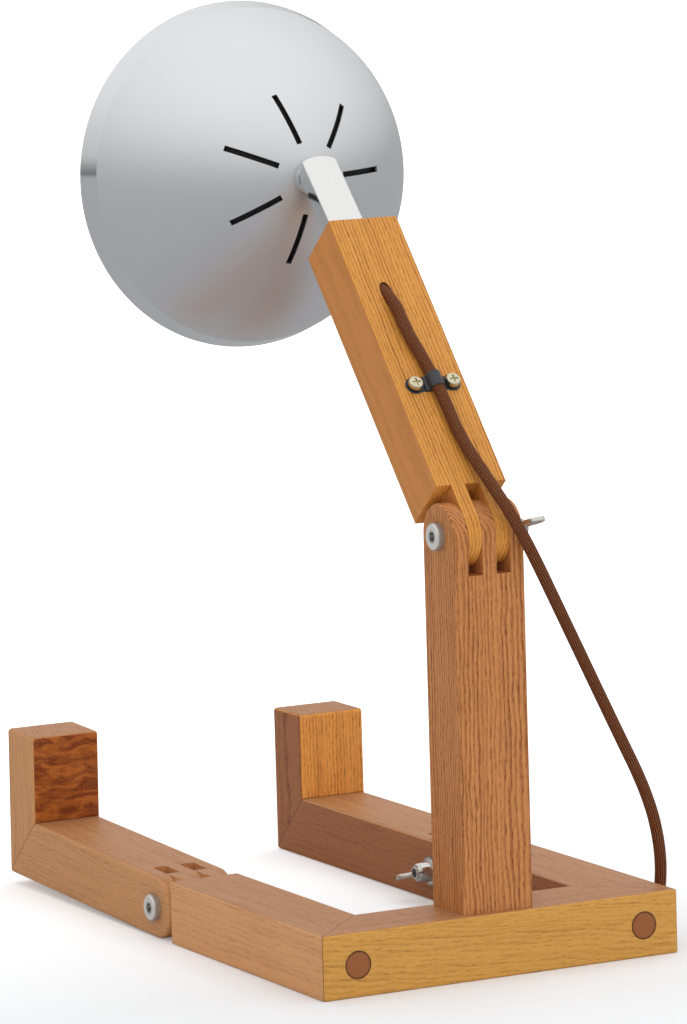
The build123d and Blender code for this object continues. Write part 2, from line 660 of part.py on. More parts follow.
def cord_hanging():
    return cord_tube(hanging_route(), CORD_DIA)


def cord_lead(*steps):
    """Cord in line with the switch, with (y, z) points as its route."""
    return cord_tube([Vector(LEAD_X, y, z) for y, z in steps], CORD_DIA)


def cord_link():
    """Cord from the switch into the hank."""
    return cord_lead((SWITCH_END_Y, LEAD_Z), (HANK_START_Y, LEAD_Z), (HANK_START_Y - HANK_GRIP, HANK_Z))


def cord_tail():
    """Last strand of the hank, which lies over its folds, and its run to the plug."""
    near = HANK_START_Y - HANK_WIDE / 2
    far = HANK_END_Y + HANK_WIDE / 2
    rise = HANK_GRIP / 2
    climb = [(near + rise, HANK_Z), (near - rise, OVER_Z)]
    descent = [(far - HANK_GRIP, OVER_Z), (PLUG_START_Y + TAIL_LONG, LEAD_Z)]
    return cord_lead(*climb, *descent, (PLUG_START_Y, LEAD_Z))


def saddle_place():
    """Frame on the block's rear face: local z out of the face, local y up the block."""
    return Pos(SADDLE_X, HALF_THICK, SADDLE_RISE) * Rot(-90, 0, 0) * Rot(0, 0, 180)


def cord_saddle():
    """Strap over the cord, with a round ear at each screw."""
    bore = CORD_DIA / 2 + SADDLE_FIT
    middle = CORD_LIFT + CORD_DIA / 2
    outer = bore + SADDLE_SHEET
    half = SADDLE_PITCH / 2 + SADDLE_EAR
    strap = Pos(0, SADDLE_SHEET / 2) * Rectangle(2 * half, SADDLE_SHEET)
    strap += Pos(0, middle / 2) * Rectangle(2 * outer, middle) + Pos(0, middle) * Circle(outer)
    strap &= Pos(0, outer) * Rectangle(2 * half, 2 * outer)
    strap -= Pos(0, middle) * Circle(bore)
    strap -= Pos(0, middle / 2 - outer) * Rectangle(2 * bore, middle + 2 * outer)
    solid = extrude(Plane.XZ * strap, SADDLE_WIDE / 2, both=True)
    solid &= extrude(SlotOverall(2 * half, SADDLE_WIDE), 3 * outer, both=True)
    for side in (-1, 1):
        solid -= Pos(side * SADDLE_PITCH / 2, 0, 0) * rod_z(CLIP_SCREW_DIA + 2 * DOWEL_FIT, -outer, outer)
    return BLOCK * saddle_place() * solid


def clip_screw(extra=0.0):
    """Cross-recess pan-head screw standing on the saddle's ear."""
    head_end = SADDLE_SHEET + CLIP_SCREW_HEAD_HIGH
    head = rod_z(CLIP_SCREW_HEAD, SADDLE_SHEET, head_end)
    head = fillet(head.edges().group_by(Axis.Z)[-1], 0.5 * CLIP_SCREW_HEAD_HIGH)
    for length, width in ((CROSS_LONG, CROSS_WIDE), (CROSS_WIDE, CROSS_LONG)):
        head -= Pos(0, 0, head_end) * Box(length, width, 2 * CROSS_DEEP)
    tip = -CLIP_SCREW_LONG + CLIP_SCREW_DIA
    shank = rod_z(CLIP_SCREW_DIA + extra, tip, SADDLE_SHEET)
    return head + shank + cone_z(CLIP_SCREW_DIA / 4, CLIP_SCREW_DIA + extra, -CLIP_SCREW_LONG, tip)


def clip_screws(extra=0.0):
    return Part() + [Pos(side * SADDLE_PITCH / 2, 0, 0) * clip_screw(extra) for side in (-1, 1)]


# ---------- switch, hank, tie and plug, on the surface beside the right leg ----------

def switch_middle():
    return Pos(LEAD_X, SWITCH_START_Y - SNOUT_LONG - SWITCH_LONG / 2, 0)


def rocker_outline(gap):
    """Rocker seen along its hinge, or with a gap the well that clears it."""
    half = ROCKER_LONG / 2 + gap
    if gap:
        return [(-half, -ROCKER_WELL), (half, -ROCKER_WELL), (half, SWITCH_HIGH), (-half, SWITCH_HIGH)]
    foot = ROCKER_LONG / 6
    low = TRUNNION_DIA / 2 + 1.0
    top = ROCKER_RISE
    return [(-half, 0), (-foot, -low), (foot, -low), (half, 0), (half, top), (0, top - ROCKER_DIP), (-half, top)]


def rocker_hinge():
    return switch_middle() * Pos(0, 0, SWITCH_HIGH + ROCKER_PROUD - ROCKER_RISE)


def rocker_solid(gap, wide):
    outline = make_face(Polyline(*rocker_outline(gap), close=True))
    return extrude(Plane.YZ * outline, wide / 2, both=True)


def switch_housing():
    """Inline switch's case, a snout at each end and a well for the rocker."""
    case = Box(SWITCH_WIDE, SWITCH_LONG, SWITCH_HIGH)
    case = fillet(case.edges().filter_by(Axis.Z), 2 * SWITCH_ROUND)
    case = fillet(case.edges().group_by(Axis.Z)[-1], SWITCH_ROUND)
    case = switch_middle() * Pos(0, 0, SWITCH_HIGH / 2) * case
    snout = cone_z(SNOUT_DIA, SNOUT_TIP_DIA, 0, SNOUT_LONG)
    case += Pos(LEAD_X, SWITCH_START_Y - SNOUT_LONG, LEAD_Z) * Rot(-90, 0, 0) * snout
    case += Pos(LEAD_X, SWITCH_END_Y + SNOUT_LONG, LEAD_Z) * Rot(90, 0, 0) * snout
    case -= rocker_hinge() * rocker_solid(ROCKER_GAP, ROCKER_WIDE + ROCKER_GAP)
    hole_end = ROCKER_WIDE / 2 + TRUNNION_LONG + TRUNNION_FIT
    return case - rocker_hinge() * rod_x(TRUNNION_DIA + 2 * TRUNNION_FIT, -hole_end, hole_end)


def switch_rocker():
    """Rocker on two trunnions, resting on one side."""
    pin_end = ROCKER_WIDE / 2 + TRUNNION_LONG
    rocker = rocker_solid(0, ROCKER_WIDE) + rod_x(TRUNNION_DIA, -pin_end, pin_end)
    return rocker_hinge() * Rot(ROCKER_TILT, 0, 0) * rocker


def hank_place():
    """Frame at the middle of the hank, on the surface with the tie under it."""
    return Pos(HANK_X, (HANK_START_Y + HANK_END_Y) / 2, HANK_Z)


def cord_hank():
    """Envelope of the spare cord, folded to and fro along the leg and drawn in by its tie."""
    fold = FOLD_SPACING / 2
    outline = Rectangle(HANK_WAIST, TIE_WIDE)
    for end in (-1, 1):
        corners = [(side * HANK_WAIST / 2, end * TIE_WIDE / 2) for side in (-1, 1)]
        corners += [(side * HANK_WIDE / 2, end * fold) for side in (1, -1)]
        outline += make_face(Polyline(*corners, close=True)) + Pos(0, end * fold) * Circle(HANK_WIDE / 2)
    hank = extrude(outline, HANK_HIGH / 2, both=True)
    return hank_place() * fillet(hank.edges().filter_by(Plane.XY), HANK_EDGE)


def hank_tie():
    """Flat band round the middle of the hank."""
    slack = 2 * TIE_SLACK
    growth = slack + 2 * TIE_THICK
    band = RectangleRounded(HANK_WAIST + growth, HANK_HIGH + growth, HANK_EDGE + TIE_THICK)
    band -= RectangleRounded(HANK_WAIST + slack, HANK_HIGH + slack, HANK_EDGE)
    return hank_place() * extrude(Plane.XZ * band, TIE_WIDE / 2, both=True)


def plug_pin_places():
    front = PLUG_START_Y - PLUG_SNOUT_LONG - PLUG_LONG
    return [Pos(LEAD_X + side * PLUG_PIN_PITCH / 2, front, LEAD_Z) for side in (-1, 1)]


def plug_body():
    """Flat two-pin plug with a tapered snout for the cord."""
    body = Box(PLUG_WIDE, PLUG_LONG, PLUG_HIGH)
    body = fillet(body.edges().filter_by(Axis.Z), PLUG_CORNER)
    body = fillet(body.edges().filter_by(Plane.XY), PLUG_ROUND)
    body = Pos(LEAD_X, PLUG_START_Y - PLUG_SNOUT_LONG - PLUG_LONG / 2, PLUG_HIGH / 2) * body
    snout = cone_z(SNOUT_DIA, SNOUT_TIP_DIA, 0, PLUG_SNOUT_LONG)
    body += Pos(LEAD_X, PLUG_START_Y - PLUG_SNOUT_LONG, LEAD_Z) * Rot(-90, 0, 0) * snout
    for place in plug_pin_places():
        body -= place * rod_y(PLUG_PIN_DIA + 2 * PLUG_PIN_FIT, -PLUG_PIN_LONG, PLUG_PIN_ROOT)
    return body


def plug_pins():
    pin = rod_y(PLUG_PIN_DIA, -PLUG_PIN_LONG, PLUG_PIN_ROOT)
    pin = fillet(pin.edges().group_by(Axis.Y)[0], PLUG_PIN_DIA / 4)
    return Part() + [place * pin for place in plug_pin_places()]


# ---------- the whole lamp ----------

def leg_nodes(side, name):
    """Everything of one leg, with its knee's hardware."""
    place = leg_place(side)
    return {
        f"thigh_{name}": thigh(side),
        f"shin_{name}": shin(side),
        f"foot_{name}": foot(side),
        f"foot_dowel_{name}": place * toe_dowel(),
        f"knee_bolt_{name}": place * on_side(side, knuckle_bolt()),
        f"knee_washer_{name}": place * on_side(side, knuckle_washer()),
        f"knee_wing_nut_{name}": place * on_side(side, wing_nut(KNEE_NUT_TURN)),
    }


def lamp_nodes():
    nodes = {
        "hip_crossbar": hip_crossbar(),
        "crossbar_dowels": crossbar_dowels(),
        "torso": torso(),
        "torso_screws": torso_screws(),
        "waist_bolt": WAIST * knuckle_bolt(),
        "waist_washer": WAIST * knuckle_washer(),
        "waist_wing_nut": WAIST * wing_nut(WAIST_NUT_TURN),
        "neck_block": neck_block(),
        "swivel_bush": swivel_bush(),
        "neck_swivel": neck_swivel(),
        "swivel_nut": swivel_nut(),
        "neck_bar": neck_bar(),
        "tilt_pin": tilt_pin(),
        "shade_hub": shade_hub(),
        "hub_nut": hub_nut(),
        "shade_shell": shade_shell(),
        "lamp_holder": lamp_holder(),
        "bulb_body": bulb_body(),
        "bulb_lens": bulb_lens(),
        "bulb_pins": bulb_pins(),
        "cord_saddle": cord_saddle(),
        "saddle_screws": BLOCK * saddle_place() * clip_screws(),
        "cord_upper": cord_upper(),
        "cord_hanging": cord_hanging(),
        "cord_link": cord_link(),
        "cord_tail": cord_tail(),
        "switch_housing": switch_housing(),
        "switch_rocker": switch_rocker(),
        "cord_hank": cord_hank(),
        "hank_tie": hank_tie(),
        "plug_body": plug_body(),
        "plug_pins": plug_pins(),
    }
    nodes.update(leg_nodes(1, "left"))
    nodes.update(leg_nodes(-1, "right"))
    return nodes


def report_cord(name, points, tube):
    """Print a tube's bend radii, and its volume beside its section times its length."""
    path = cord_path(points)
    section = Circle(CORD_DIA / 2).area
    print(name, "length", round(path.length, 1), "radii", [round(radius, 1) for radius in bend_radii(points)])
    print(name, "volume", round(tube.volume, 1), "section x length", round(section * path.length, 1))


def main():
    os.makedirs("parts", exist_ok=True)
    nodes = lamp_nodes()
    for name, shape in nodes.items():
        export_step(shape, f"parts/{name}.step")
    report_cord("cord_upper", block_route(BORE_RUN), nodes["cord_upper"])
    report_cord("cord_hanging", hanging_route(), nodes["cord_hanging"])


if __name__ == "__main__":
    main()
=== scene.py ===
from math import asin, atan2, cos, hypot, pi, radians, sin

import bmesh
import bpy
from mathutils import Matrix, Vector


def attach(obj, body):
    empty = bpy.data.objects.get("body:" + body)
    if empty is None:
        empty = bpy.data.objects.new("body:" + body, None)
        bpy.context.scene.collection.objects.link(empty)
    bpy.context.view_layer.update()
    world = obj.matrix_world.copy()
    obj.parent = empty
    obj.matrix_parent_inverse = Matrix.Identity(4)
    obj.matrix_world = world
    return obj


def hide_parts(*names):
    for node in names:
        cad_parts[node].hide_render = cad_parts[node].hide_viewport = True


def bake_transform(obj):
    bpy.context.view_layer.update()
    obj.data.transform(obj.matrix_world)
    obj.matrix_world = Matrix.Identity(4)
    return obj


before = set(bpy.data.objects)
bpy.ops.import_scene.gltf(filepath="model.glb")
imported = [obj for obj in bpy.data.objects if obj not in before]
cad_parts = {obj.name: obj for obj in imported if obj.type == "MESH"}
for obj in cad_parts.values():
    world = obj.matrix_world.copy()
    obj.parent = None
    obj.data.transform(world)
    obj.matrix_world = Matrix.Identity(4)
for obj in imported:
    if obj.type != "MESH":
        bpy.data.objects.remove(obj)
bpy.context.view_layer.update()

# Looks of the robot-shaped desk lamp. Sizes are millimetres here and become metres in MM.
MM = 0.001
IMAGE_HIGH = 1024

# --- Frames of the jointed pieces, as in the CAD source ---


def move(x=0.0, y=0.0, z=0.0):
    return Matrix.Translation((x * MM, y * MM, z * MM))


def turn(axis, angle):
    return Matrix.Rotation(radians(angle), 4, axis)


KNEE_X, KNEE_Y, KNEE_Z = 79.55, -164.85, 16.0
WAIST = move(z=216.2)
BLOCK = WAIST @ turn("X", 40.8)
SWIVEL = BLOCK @ move(z=180.3) @ turn("Z", -4.0)
BAR = SWIVEL @ move(y=-2.7) @ turn("X", 3.6)
HEAD = BAR @ move(y=-0.75, z=41.2) @ turn("X", 47.5)
KNEE_LEFT = move(KNEE_X, KNEE_Y, KNEE_Z) @ turn("X", -1.83)
KNEE_RIGHT = move(-KNEE_X, KNEE_Y, KNEE_Z)

# --- Camera ---
CAMERA_AT = (1351.68, 2469.82, 604.86)
CAMERA_AZIMUTH = 152.58
CAMERA_ELEVATION = 7.62
CAMERA_ROLL = -1.69
CAMERA_FOCAL = 5864.13      # in pixels of the photograph
SENSOR = 36.0

# --- Cord ---
CORD_DIA = 6.0
CORD_SIDES = 20
RING_STEP = 1.2             # between a tube's rings
BRAID_PITCH = 9.0           # cord's length for one turn of a braid strand
SWITCH_START = (-112.5, -58.0, 7.0)
SWITCH_END = (-112.5, -134.0, 7.0)
PLUG_START = (-112.5, -330.4, 7.0)
ON_BLOCK = (
    (3.6, 7.2, 147.2),
    (3.6, 19.2, 130.0),
    (3.6, 19.2, 108.0),
    (0.1, 19.2, 88.0),
    (-1.8, 19.2, 67.0),
    (-1.9, 19.2, 43.0),
    (-5.2, 21.4, 20.0),
    (-10.3, 24.8, -15.5),
)
HANGING = (
    (-41.8, 14.9, 170.1),
    (-72.1, 6.4, 116.3),
    (-94.2, 1.3, 76.9),
    (-103.6, -3.5, 48.0),
    (-107.6, -12.0, 22.0),
    (-112.5, -34.0, 7.0),
    SWITCH_START,
)

# --- Hank ---
FOLD_SPACING = 116.0
FOLD_INNER, FOLD_OUTER = 18.0, 24.2
WAIST_INNER, WAIST_OUTER = 3.1, 9.3
HANK_MIDDLE_Y = -231.2
HANK_X = SWITCH_START[0] - FOLD_OUTER
STRAND_LOW, STRAND_PITCH = 3.1, 6.2
TIE_LIFT = 1.0
TAIL_DROP_Y = -316.4        # where the last strand has come down to the plug's height
FOLD_POINTS = 7
LEG_POINTS = 7


def points_in(place, points):
    """Points in a local frame, in millimetres, as points of the row frame in metres."""
    return [place @ (Vector(point) * MM) for point in points]


# ---------- meshes ----------

def mesh_object(name, verts, faces, smooth=True):
    mesh = bpy.data.meshes.new(name)
    mesh.from_pydata([tuple(v) for v in verts], [], faces)
    mesh.update()
    mesh.polygons.foreach_set("use_smooth", [smooth] * len(mesh.polygons))
    piece = bpy.data.objects.new(name, mesh)
    bpy.context.scene.collection.objects.link(piece)
    return piece


def nurbs_points(name, route):
    """Points along the smooth curve that has the route as its control points."""
    curve = bpy.data.curves.new(name, "CURVE")
    curve.dimensions = "3D"
    spline = curve.splines.new("NURBS")
    spline.points.add(len(route) - 1)
    for control, point in zip(spline.points, route):
        control.co = (*point, 1.0)
    spline.order_u = 3
    spline.use_endpoint_u = True
    spline.resolution_u = 16
    holder = bpy.data.objects.new(name, curve)
    bpy.context.scene.collection.objects.link(holder)
    bpy.context.view_layer.update()
    line = [v.co.copy() for v in bpy.data.meshes.new_from_object(holder).vertices]
    bpy.data.objects.remove(holder)
    return line


def evenly(line, step):
    """The same line with points a step apart."""
    lengths = [0.0]
    for a, b in zip(line, line[1:]):
        lengths.append(lengths[-1] + (b - a).length)
    count = max(2, round(lengths[-1] / step))
    spaced, i = [], 0
    for k in range(count + 1):
        wanted = lengths[-1] * k / count
        while i < len(line) - 2 and lengths[i + 1] < wanted:
            i += 1
        span = lengths[i + 1] - lengths[i]
        spaced.append(line[i].lerp(line[i + 1], (wanted - lengths[i]) / span if span else 0.0))
    return spaced


def frames_along(line):
    """A sideways pair of directions at each point, carried along without twist."""
    tangents = [(b - a).normalized() for a, b in zip(line[:1] + line[:-1], line[1:] + line[-1:])]
    tangents[0] = (line[1] - line[0]).normalized()
    tangents[-1] = (line[-1] - line[-2]).normalized()
    side = tangents[0].orthogonal().normalized()
    pairs = []
    for tangent in tangents:
        side = (side - tangent * side.dot(tangent)).normalized()
        pairs.append((side, tangent.cross(side)))
    return pairs


def tube(name, line, radius, sides):
    """Closed tube along a line, with u round it and v along it in turns of the braid."""
    rings, verts, faces = frames_along(line), [], []
    for centre, (a, b) in zip(line, rings):
        for k in range(sides):
            angle = 2 * pi * k / sides
            verts.append(centre + radius * (cos(angle) * a + sin(angle) * b))
    for i in range(len(line) - 1):
        for k in range(sides):
            n = (k + 1) % sides
            faces.append((i * sides + k, i * sides + n, (i + 1) * sides + n, (i + 1) * sides + k))
    last = (len(line) - 1) * sides
    faces.append(tuple(reversed(range(sides))))
    faces.append(tuple(last + k for k in range(sides)))
    piece = mesh_object(name, verts, faces)
    uv = piece.data.uv_layers.new(name="braid")
    step = (line[1] - line[0]).length / (BRAID_PITCH * MM)
    for face in piece.data.polygons:
        for loop in face.loop_indices:
            vertex = piece.data.loops[loop].vertex_index
            ring, k = divmod(vertex, sides)
            wraps = k == 0 and any(
                piece.data.loops[other].vertex_index % sides == sides - 1 for other in face.loop_indices
            )
            uv.data[loop].uv = ((sides if wraps else k) / sides, ring * step)
    return piece


def lathe(name, profile, place, segments=96, closed=False):
    """Surface of revolution about the place's z, from (radius, height) points in millimetres."""
    verts, faces, rows = [], [], []
    for radius, height in profile:
        if radius == 0:
            rows.append([len(verts)] * segments)
            verts.append(place @ Vector((0, 0, height * MM)))
            continue
        rows.append(list(range(len(verts), len(verts) + segments)))
        for k in range(segments):
            angle = 2 * pi * k / segments
            verts.append(place @ (Vector((radius * cos(angle), radius * sin(angle), height)) * MM))
    pairs = list(zip(rows, rows[1:])) + ([(rows[-1], rows[0])] if closed else [])
    for low, high in pairs:
        for k in range(segments):
            n = (k + 1) % segments
            face = [low[k], low[n], high[n], high[k]]
            faces.append(list(dict.fromkeys(face)))
    return mesh_object(name, verts, faces)


# ---------- camera ----------

def make_camera():
    azimuth, elevation, roll = radians(CAMERA_AZIMUTH), radians(CAMERA_ELEVATION), radians(CAMERA_ROLL)
    back = Vector((sin(azimuth) * cos(elevation), -cos(azimuth) * cos(elevation), sin(elevation)))
    level = Vector((0, 0, 1)).cross(back).normalized()
    upright = back.cross(level)
    right = cos(roll) * level + sin(roll) * upright
    up = -sin(roll) * level + cos(roll) * upright
    data = bpy.data.cameras.new("camera")
    data.sensor_width = SENSOR
    data.lens = CAMERA_FOCAL * SENSOR / IMAGE_HIGH
    data.clip_start, data.clip_end = 0.1, 100.0
    camera = bpy.data.objects.new("camera", data)
    facing_rows = Matrix((right, up, back)).transposed().to_4x4()
    camera.matrix_world = Matrix.Translation(Vector(CAMERA_AT) * MM) @ facing_rows
    bpy.context.scene.collection.objects.link(camera)
    bpy.context.scene.camera = camera


# ---------- cord ----------

def upper_cord():
    """Cord from its bore in the block, down the block and down to the switch."""
    on_block = points_in(BLOCK, ON_BLOCK)
    hanging = points_in(Matrix(), HANGING)
    line = evenly(nurbs_points("upper_route", on_block + hanging), RING_STEP * MM)
    piece = tube("cord_run", line, CORD_DIA / 2 * MM, CORD_SIDES)
    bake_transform(piece)
    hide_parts("cord_upper", "cord_hanging")
    return piece


def eased(share):
    share = min(1.0, max(0.0, share))
    return (1 - cos(pi * share)) / 2


def hank_leg(side, outer, outward):
    """Strand along the hank, drawn in at the tie."""
    fold, waist = (FOLD_OUTER, WAIST_OUTER) if outer else (FOLD_INNER, WAIST_INNER)
    half = FOLD_SPACING / 2
    points = []
    for k in range(LEG_POINTS):
        along = half * (2 * k / (LEG_POINTS - 1) - 1) * (1 if outward else -1)
        spread = eased(abs(along) / half)
        height = STRAND_LOW + TIE_LIFT * (1 - spread)
        points.append((side * (waist + (fold - waist) * spread), -along, height))
    return points


def hank_fold(far, side, start, end, climb=0.0):
    """Half turn at one end of the hank, from one lane's distance off the middle to the other lane's."""
    points = []
    for k in range(1, FOLD_POINTS):
        share = k / FOLD_POINTS
        change = eased(2 * share - 1) if end < start else eased(2 * share)
        reach = start + (end - start) * change
        angle = pi * share
        past = FOLD_SPACING / 2 + reach * sin(angle)
        height = STRAND_LOW + climb * eased(2 * share - 0.9)
        points.append((side * reach * cos(angle), -past if far else past, height))
    return points


def hank_route():
    """Four strands side by side, then a fifth that lies over their folds on its way to the plug."""
    over = STRAND_LOW + STRAND_PITCH
    points = hank_leg(1, True, True)
    points += hank_fold(True, 1, FOLD_OUTER, FOLD_OUTER)
    points += hank_leg(-1, True, False)
    points += hank_fold(False, -1, FOLD_OUTER, FOLD_INNER)
    points += hank_leg(1, False, True)
    points += hank_fold(True, 1, FOLD_INNER, FOLD_INNER)
    points += hank_leg(-1, False, False)
    points += hank_fold(False, -1, FOLD_INNER, FOLD_OUTER, climb=STRAND_PITCH)
    half = FOLD_SPACING / 2
    points += [(FOLD_OUTER, half - 2 * half * k / (LEG_POINTS - 1), over) for k in range(LEG_POINTS)]
    points.append((FOLD_OUTER, -half - 8.0, over))
    return points_in(move(HANK_X, HANK_MIDDLE_Y), points)


def spare_cord():
    """Cord from the switch through the tied hank to the plug."""
    link = points_in(Matrix(), [SWITCH_END, (SWITCH_END[0], SWITCH_END[1] - 14, SWITCH_END[2] - 0.6)])
    tail = points_in(Matrix(), [(PLUG_START[0], TAIL_DROP_Y, PLUG_START[2]), PLUG_START])
    line = evenly(nurbs_points("spare_route", link + hank_route() + tail), RING_STEP * MM)
    piece = tube("cord_spare", line, CORD_DIA / 2 * MM, CORD_SIDES)
    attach(piece, "base")
    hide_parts("cord_link", "cord_hank", "cord_tail")
    return piece


make_camera()
run_cord = upper_cord()
spare = spare_cord()

# ---------- shade ----------
SHADE_SHEET = 1.2
SEAT_BORE, SEAT_RADIUS, SEAT_DROP = 5.1, 10.0, 12.0
DOME_SLOPE = 13.5
SHADE_WAIST = (44.0, 28.9)
SHADE_CREASE = (86.3, 88.7)
SHADE_RIM = (89.8, 102.7)
SLOTS, SLOT_WIDE, SLOT_INNER, SLOT_OUTER, FIRST_SLOT = 7, 2.9, 18.3, 44.0, 12.86
CREASE_ROUND = 1.0          # length of profile over which the crease turns
SECTOR_COLUMNS = 44
# Dish behind the slots: a black sheet that is painted shade.
DISH_BORE, DISH_EDGE = 14.6, 52.0
DISH_DEEP = 2.6
DISH_SHEET = 0.8


def arc_points(start, end, slope, count):
    """Points of the arc that leaves start at a slope and ends at end, each with its own slope."""
    chord = atan2(end[1] - start[1], end[0] - start[0])
    last = 2 * chord - slope
    radius = hypot(end[0] - start[0], end[1] - start[1]) / (2 * sin((last - slope) / 2))
    rows = []
    for k in range(count + 1):
        angle = slope + (last - slope) * k / count
        across = start[0] + radius * (sin(angle) - sin(slope))
        along = start[1] - radius * (cos(angle) - cos(slope))
        rows.append((across, along, angle))
    return rows


def shade_profile():
    """Rows of (radius, height, slope) from the bore to the rim, with rows at both ends of the slots."""
    seat = [(across, SEAT_DROP, 0.0) for across in (SEAT_BORE, 0.6 * SEAT_RADIUS, 0.93 * SEAT_RADIUS)]
    crown = arc_points((SEAT_RADIUS, SEAT_DROP), SHADE_WAIST, radians(DOME_SLOPE), 26)
    flank = arc_points(SHADE_WAIST, SHADE_CREASE, crown[-1][2], 40)
    lip_slope = atan2(SHADE_RIM[1] - SHADE_CREASE[1], SHADE_RIM[0] - SHADE_CREASE[0])
    before, after = flank[-1], SHADE_RIM
    turned = []
    for k in range(4):
        slope = before[2] + (lip_slope - before[2]) * (k + 1) / 4
        turned.append((before[0] + CREASE_ROUND * (k - 1) / 3 * cos(slope),
                       before[1] + CREASE_ROUND * (k - 1) / 3 * sin(slope), slope))
    lip = []
    for k in range(1, 9):
        share = k / 8
        lip.append((turned[-1][0] + (after[0] - turned[-1][0]) * share,
                    turned[-1][1] + (after[1] - turned[-1][1]) * share, lip_slope))
    rows = seat + crown + flank[1:-1] + turned + lip
    inner_end = min(range(len(rows)), key=lambda i: abs(rows[i][0] - SLOT_INNER))
    return rows, inner_end


def skin_rows(rows, inset):
    return [(r - inset * sin(slope), z + inset * cos(slope)) for r, z, slope in rows]


def shade_piece():
    """Spun shade in two skins, with its slots, slot walls in black as painted shade, and rounded rim."""
    rows, slot_first = shade_profile()
    slot_last = min(range(len(rows)), key=lambda i: abs(rows[i][0] - SLOT_OUTER))
    skins = [skin_rows(rows, 0.0), skin_rows(rows, SHADE_SHEET)]
    sector = 2 * pi / SLOTS
    verts, index = [], {}
    for skin, profile in enumerate(skins):
        for i, (radius, height) in enumerate(profile):
            half_slot = asin(SLOT_WIDE / 2 / max(radius, SLOT_WIDE))
            for s in range(SLOTS):
                middle = pi / 2 - radians(FIRST_SLOT) - s * sector
                for c in range(SECTOR_COLUMNS + 1):
                    angle = middle + half_slot + (sector - 2 * half_slot) * c / SECTOR_COLUMNS
                    index[skin, i, s, c] = len(verts)
                    verts.append(HEAD @ (Vector((radius * cos(angle), radius * sin(angle), height)) * MM))
    faces, walls, slot_walls = [], [], []
    last = len(rows) - 1
    for skin in (0, 1):
        flip = skin == 1
        for i in range(last):
            for s in range(SLOTS):
                for c in range(SECTOR_COLUMNS):
                    a, b = index[skin, i, s, c], index[skin, i, s, c + 1]
                    d, e = index[skin, i + 1, s, c], index[skin, i + 1, s, c + 1]
                    faces.append((a, d, e, b) if flip else (a, b, e, d))
                if slot_first <= i < slot_last:
                    continue
                before = (s + 1) % SLOTS
                a, b = index[skin, i, before, SECTOR_COLUMNS], index[skin, i, s, 0]
                d, e = index[skin, i + 1, before, SECTOR_COLUMNS], index[skin, i + 1, s, 0]
                faces.append((a, d, e, b) if flip else (a, b, e, d))
    for s in range(SLOTS):
        before = (s + 1) % SLOTS
        for i in range(slot_first, slot_last):
            for column, sector_number in ((0, s), (SECTOR_COLUMNS, before)):
                a, b = index[0, i, sector_number, column], index[0, i + 1, sector_number, column]
                d, e = index[1, i, sector_number, column], index[1, i + 1, sector_number, column]
                slot_walls.append((a, b, e, d))
        for i in (slot_first, slot_last):
            a, b = index[0, i, before, SECTOR_COLUMNS], index[0, i, s, 0]
            d, e = index[1, i, before, SECTOR_COLUMNS], index[1, i, s, 0]
            slot_walls.append((a, b, e, d))
        for i in (0, last):
            for c in range(SECTOR_COLUMNS):
                a, b = index[0, i, s, c], index[0, i, s, c + 1]
                d, e = index[1, i, s, c], index[1, i, s, c + 1]
                walls.append((a, b, e, d))
            a, b = index[0, i, before, SECTOR_COLUMNS], index[0, i, s, 0]
            d, e = index[1, i, before, SECTOR_COLUMNS], index[1, i, s, 0]
            walls.append((a, b, e, d))
    piece = mesh_object("shade", verts, faces + walls + slot_walls)
    # Slot walls take the second material, black: painted shade in the slots.
    cut = len(faces) + len(walls)
    for face in list(piece.data.polygons)[cut:]:
        face.material_index = 1
    work = bmesh.new()
    work.from_mesh(piece.data)
    work.faces.ensure_lookup_table()
    for face in work.faces[len(faces):]:
        for edge in face.edges:
            if any(other.index < len(faces) for other in edge.link_faces):
                edge.smooth = False
    bmesh.ops.recalc_face_normals(work, faces=work.faces)
    work.to_mesh(piece.data)
    work.free()
    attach(piece, "head")
    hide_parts("shade_shell")
    return piece


def slot_painted_shade_dish():
    """Black dish close behind the slots, which meets the dome beyond their outer ends: a dark sheet of
    painted shade that darkens what the slots show.
    """
    rows, _ = shade_profile()
    under = [(r, z) for r, z in skin_rows(rows, SHADE_SHEET) if DISH_BORE < r < DISH_EDGE]
    upper = [(r, z + DISH_DEEP * min(1.0, (DISH_EDGE - r) / 6.0)) for r, z in under]
    lower = [(r, z + DISH_SHEET) for r, z in reversed(upper)]
    piece = lathe("slot_painted_shade_dish", upper + lower, HEAD, closed=True)
    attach(piece, "head")
    return piece


# ---------- wing nuts ----------
NUT_SEAT = 20.5             # from the knuckle's middle to the nut's base
WING_THICK = 2.4
WING_RIM = 1.5
WING_SUNK = 0.55
WING_OUTLINE = (
    (3.4, 2.2), (6.2, 2.4), (9.4, 3.6), (12.2, 6.0), (13.7, 8.9), (13.9, 11.4), (12.9, 13.1),
    (11.2, 13.3), (9.2, 12.6), (7.0, 10.2), (5.4, 8.2), (3.4, 7.2),
)
NUT_PROFILE = (
    (3.05, 0.0), (5.3, 0.0), (5.7, 0.4), (5.6, 1.6), (5.1, 4.0),
    (4.9, 6.0), (4.6, 7.1), (4.1, 7.6), (3.3, 7.6), (3.05, 7.3),
)
WING_NUTS = (
    ("waist_nut", "waist_wing_nut", WAIST, 25.0, 1),
    ("left_knee_nut", "knee_wing_nut_left", KNEE_LEFT, 18.0, 1),
    ("right_knee_nut", "knee_wing_nut_right", KNEE_RIGHT, 18.0, -1),
)


